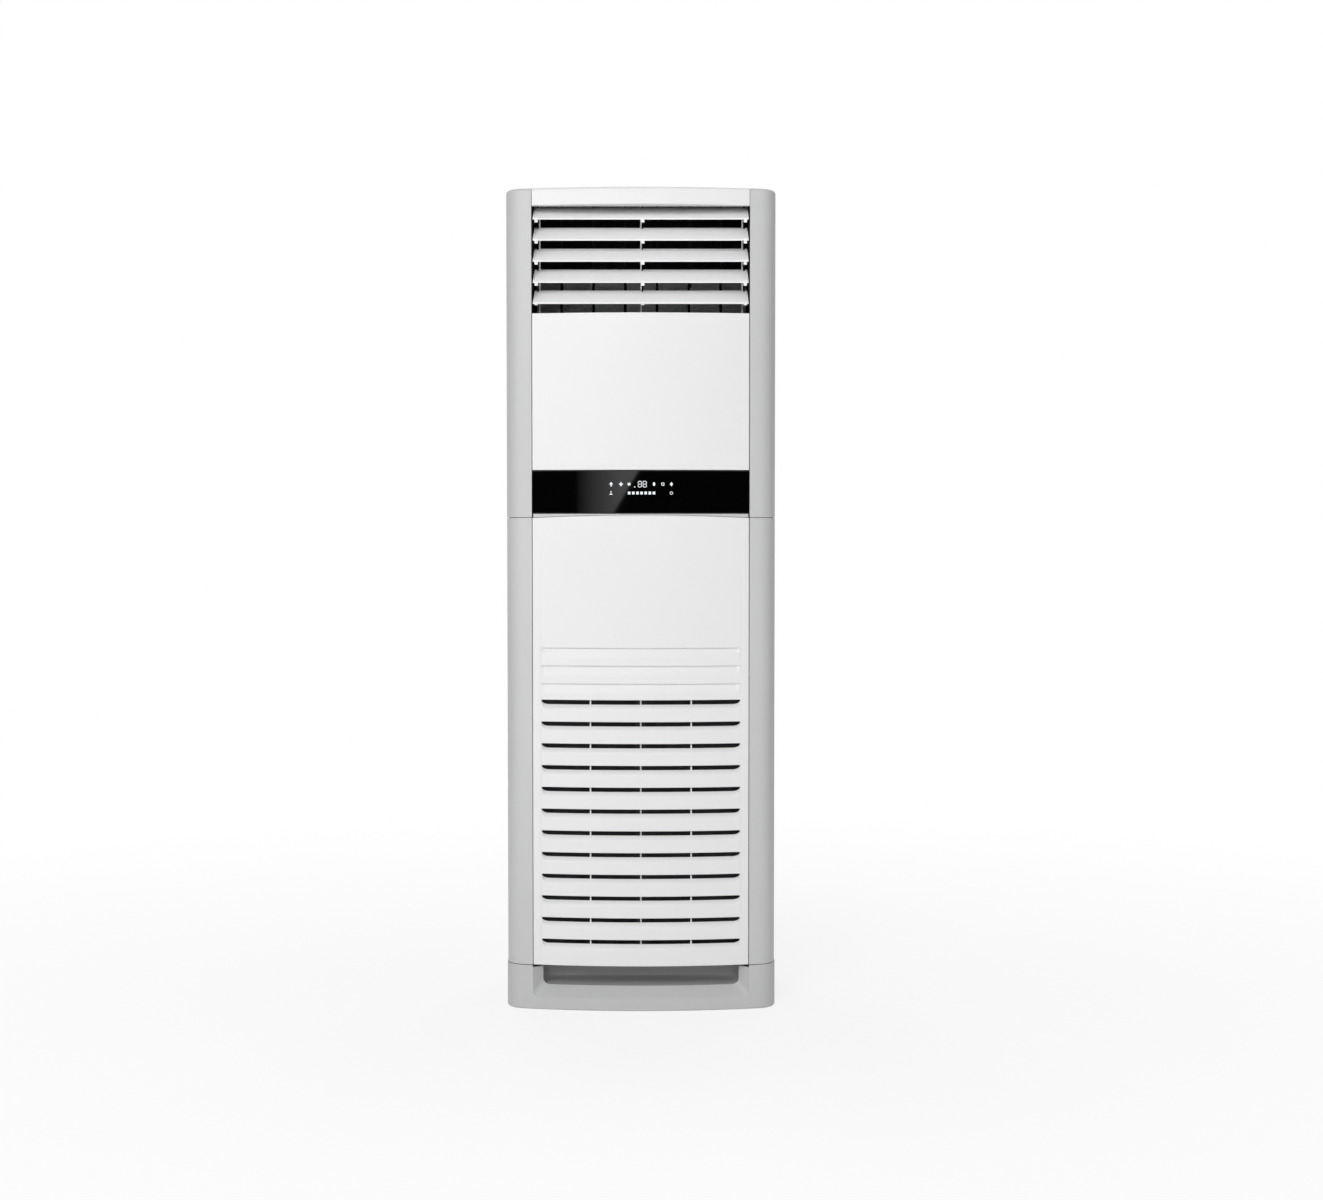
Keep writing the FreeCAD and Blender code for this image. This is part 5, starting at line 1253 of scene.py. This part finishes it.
# %% Floor
FLOOR_REACH = 12.0
FLOOR_DROP = -0.0005
SHADOW_REACH = 0.6
WHITE_REACH = 3.0
SHADOW_WHITE = 0.8
FLOOR_GREY = (0.85, 0.85, 0.85, 1)
stage_material = bpy.data.materials.new("pale_stage")
stage_material.use_nodes = True
stage = stage_material.node_tree
stage.nodes.clear()
place = add_node(stage, "ShaderNodeTexCoord").outputs["Object"]
away = add_node(stage, "ShaderNodeVectorMath", {0: place}, operation="LENGTH").outputs["Value"]
ranges = {"From Min": SHADOW_REACH, "From Max": WHITE_REACH, "To Min": SHADOW_WHITE}
whiteness = add_node(stage, "ShaderNodeMapRange", {"Value": away, **ranges}).outputs["Result"]
factors = {0: seen_rays(stage), 1: whiteness}
share = add_node(stage, "ShaderNodeMath", factors, operation="MULTIPLY").outputs[0]
matte = add_node(stage, "ShaderNodeBsdfDiffuse", {"Color": FLOOR_GREY})
shine = add_node(stage, "ShaderNodeEmission")
end_in_mix(stage, share, matte, shine, "ShaderNodeOutputMaterial")
floor_plan = ((-1, -1), (1, -1), (1, 1), (-1, 1))
floor_corners = [(x * FLOOR_REACH, y * FLOOR_REACH, FLOOR_DROP) for x, y in floor_plan]
stage_sheet("floor", floor_corners, stage_material)
print("floor", 2 * FLOOR_REACH, "m wide")

# %% [markdown]
# The light comes from soft square lamps: the key stands high in front on the left, a weak one lower beside
# it, and a weaker fill in front on the right. Two more light the rear for the views from behind. The lamps
# themselves don't show in reflections, so the gleams can be placed by cards alone.

# %% World and lamps
WORLD_LIGHT = 0.35
WHITE = (1, 1, 1, 1)
LAMP_TARGET = Vector((0, 0, 0.95))
world = bpy.data.worlds.new("studio")
bpy.context.scene.world = world
world.use_nodes = True
sky = world.node_tree
sky.nodes.clear()
plain = add_node(sky, "ShaderNodeBackground", {"Color": WHITE, "Strength": WORLD_LIGHT})
white = add_node(sky, "ShaderNodeBackground", {"Color": WHITE, "Strength": 1.0})
end_in_mix(sky, seen_rays(sky), plain, white, "ShaderNodeOutputWorld")


def lamp(name, place, size, power):
    data = bpy.data.lights.new(name, "AREA")
    data.shape = "SQUARE"
    data.size = size
    data.energy = power
    made = put_in_scene(name, data)
    made.location = place
    made.rotation_euler = (LAMP_TARGET - Vector(place)).to_track_quat("-Z", "Y").to_euler()
    made.visible_camera = False
    made.visible_glossy = False


lamp("key_high_left", place=(-1.1, -4.4, 2.8), size=2.4, power=122)
lamp("front_low_left", place=(-0.9, -4.9, 1.5), size=1.6, power=18)
lamp("fill_right", place=(2.2, -4.2, 1.6), size=1.8, power=8)
lamp("rear_left", place=(-1.8, 4.4, 2.6), size=2.4, power=80)
lamp("rear_right", place=(1.8, 4.4, 2.4), size=2.4, power=70)
print("lamps", len(bpy.data.lights))

# %% [markdown]
# A gloss black window only looks black when something black is reflected in it. Studios hang a black flag
# behind the camera for that. A slanted pale card in front of the flag puts a grey gleam on the window's
# left part, which fades to the left end. Two brighter cards further left lift the left edge of the satin
# panels; they hang above and below the strip that the window reflects. Two more black flags at the sides
# darken the outer edges of the columns, as in product pictures on white. None of them is in the picture,
# and all stay out of the diffuse light.

# %% Flags
FLAG_Y = -5.0
FLAG_REACH = 9.0
FLAG_LOW = 0.7
FLAG_HIGH = 1.6
EDGE_X = 2.5
EDGE_FRONT = -1.9
EDGE_BACK = 1.2
EDGE_HIGH = 2.6


def reflected_sheet(name, corners, finish):
    """A stage sheet that only reflections see."""
    made = stage_sheet(name, corners, finishes[finish])
    made.visible_camera = False
    made.visible_diffuse = False
    made.visible_shadow = False


def hung(x_left, x_right, y, z_low, z_high):
    """Corners of an upright rectangle that faces along Y."""
    return [(x_left, y, z_low), (x_right, y, z_low), (x_right, y, z_high), (x_left, y, z_high)]


flag = Finish("flag_black", rough=1.0, specular=0.0)
flag.tone(flag.noise(scale=8.0), dark=(0.0, 0.0, 0.0), light=(0.002, 0.002, 0.002))
reflected_sheet("black_flag", hung(-FLAG_REACH, FLAG_REACH, FLAG_Y, FLAG_LOW, FLAG_HIGH), "flag_black")
for label, x in (("left", -EDGE_X), ("right", EDGE_X)):
    low_edge = [(x, EDGE_FRONT, 0.0), (x, EDGE_BACK, 0.0)]
    high_edge = [(x, EDGE_BACK, EDGE_HIGH), (x, EDGE_FRONT, EDGE_HIGH)]
    reflected_sheet("edge_flag_" + label, low_edge + high_edge, "flag_black")
print("flags hung")

# %% Cards
CARD_Y = -4.9
CARD_LEFT = -2.7
CARD_LOW_RIGHT = -0.807
CARD_HIGH_RIGHT = 0.145
CARD_LOW = 1.05
CARD_HIGH = 1.40
CARD_DIM_X = -1.42
CARD_BRIGHT_X = -0.45
CARD_BRIGHT = 2.07
SIDE_LEFT = -4.6
SIDE_RIGHT = -2.2
SIDE_BRIGHT = 3.0
SIDE_LEVELS = {"low": (0.0, 0.8), "high": (1.6, 3.4)}


def card(name):
    """A finish that only glows."""
    finish = Finish(name, rough=1.0, specular=0.0)
    finish.shader.inputs["Emission Color"].default_value = WHITE
    finish.shader.inputs["Base Color"].default_value = (0, 0, 0, 1)
    return finish


pale = card("card_pale")
across = pale.add("ShaderNodeSeparateXYZ", {"Vector": pale.place}).outputs["X"]
ranges = {"From Min": CARD_DIM_X, "From Max": CARD_BRIGHT_X, "To Max": CARD_BRIGHT}
fade = pale.add("ShaderNodeMapRange", {"Value": across, **ranges})
pale.drive("Emission Strength", fade.outputs["Result"])
low_edge = [(CARD_LEFT, CARD_Y, CARD_LOW), (CARD_LOW_RIGHT, CARD_Y, CARD_LOW)]
high_edge = [(CARD_HIGH_RIGHT, CARD_Y, CARD_HIGH), (CARD_LEFT, CARD_Y, CARD_HIGH)]
reflected_sheet("pale_card", low_edge + high_edge, "card_pale")
card("side_card_pale").shader.inputs["Emission Strength"].default_value = SIDE_BRIGHT
for label, (z_low, z_high) in SIDE_LEVELS.items():
    corners = hung(SIDE_LEFT, SIDE_RIGHT, CARD_Y, z_low, z_high)
    reflected_sheet("side_card_" + label, corners, "side_card_pale")
print("cards hung")

# %% [markdown]
# The camera repeats the photograph's height, distance and lens. It looks almost level, a little downwards.

# %% Camera
LENS = 55.45
SENSOR_WIDTH = 36
CAMERA_PLACE = (0.046, -4.6835, 1.0964)
CAMERA_PITCH = 87.718
camera_data = bpy.data.cameras.new("camera")
camera_data.lens = LENS
camera_data.sensor_width = SENSOR_WIDTH
camera = put_in_scene("camera", camera_data)
camera.location = CAMERA_PLACE
camera.rotation_euler = (math.radians(CAMERA_PITCH), 0, 0)
bpy.context.scene.camera = camera
bpy.context.scene.view_settings.view_transform = "Standard"
print("camera at", CAMERA_PLACE)

# %% Measure the bounds
low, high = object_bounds()
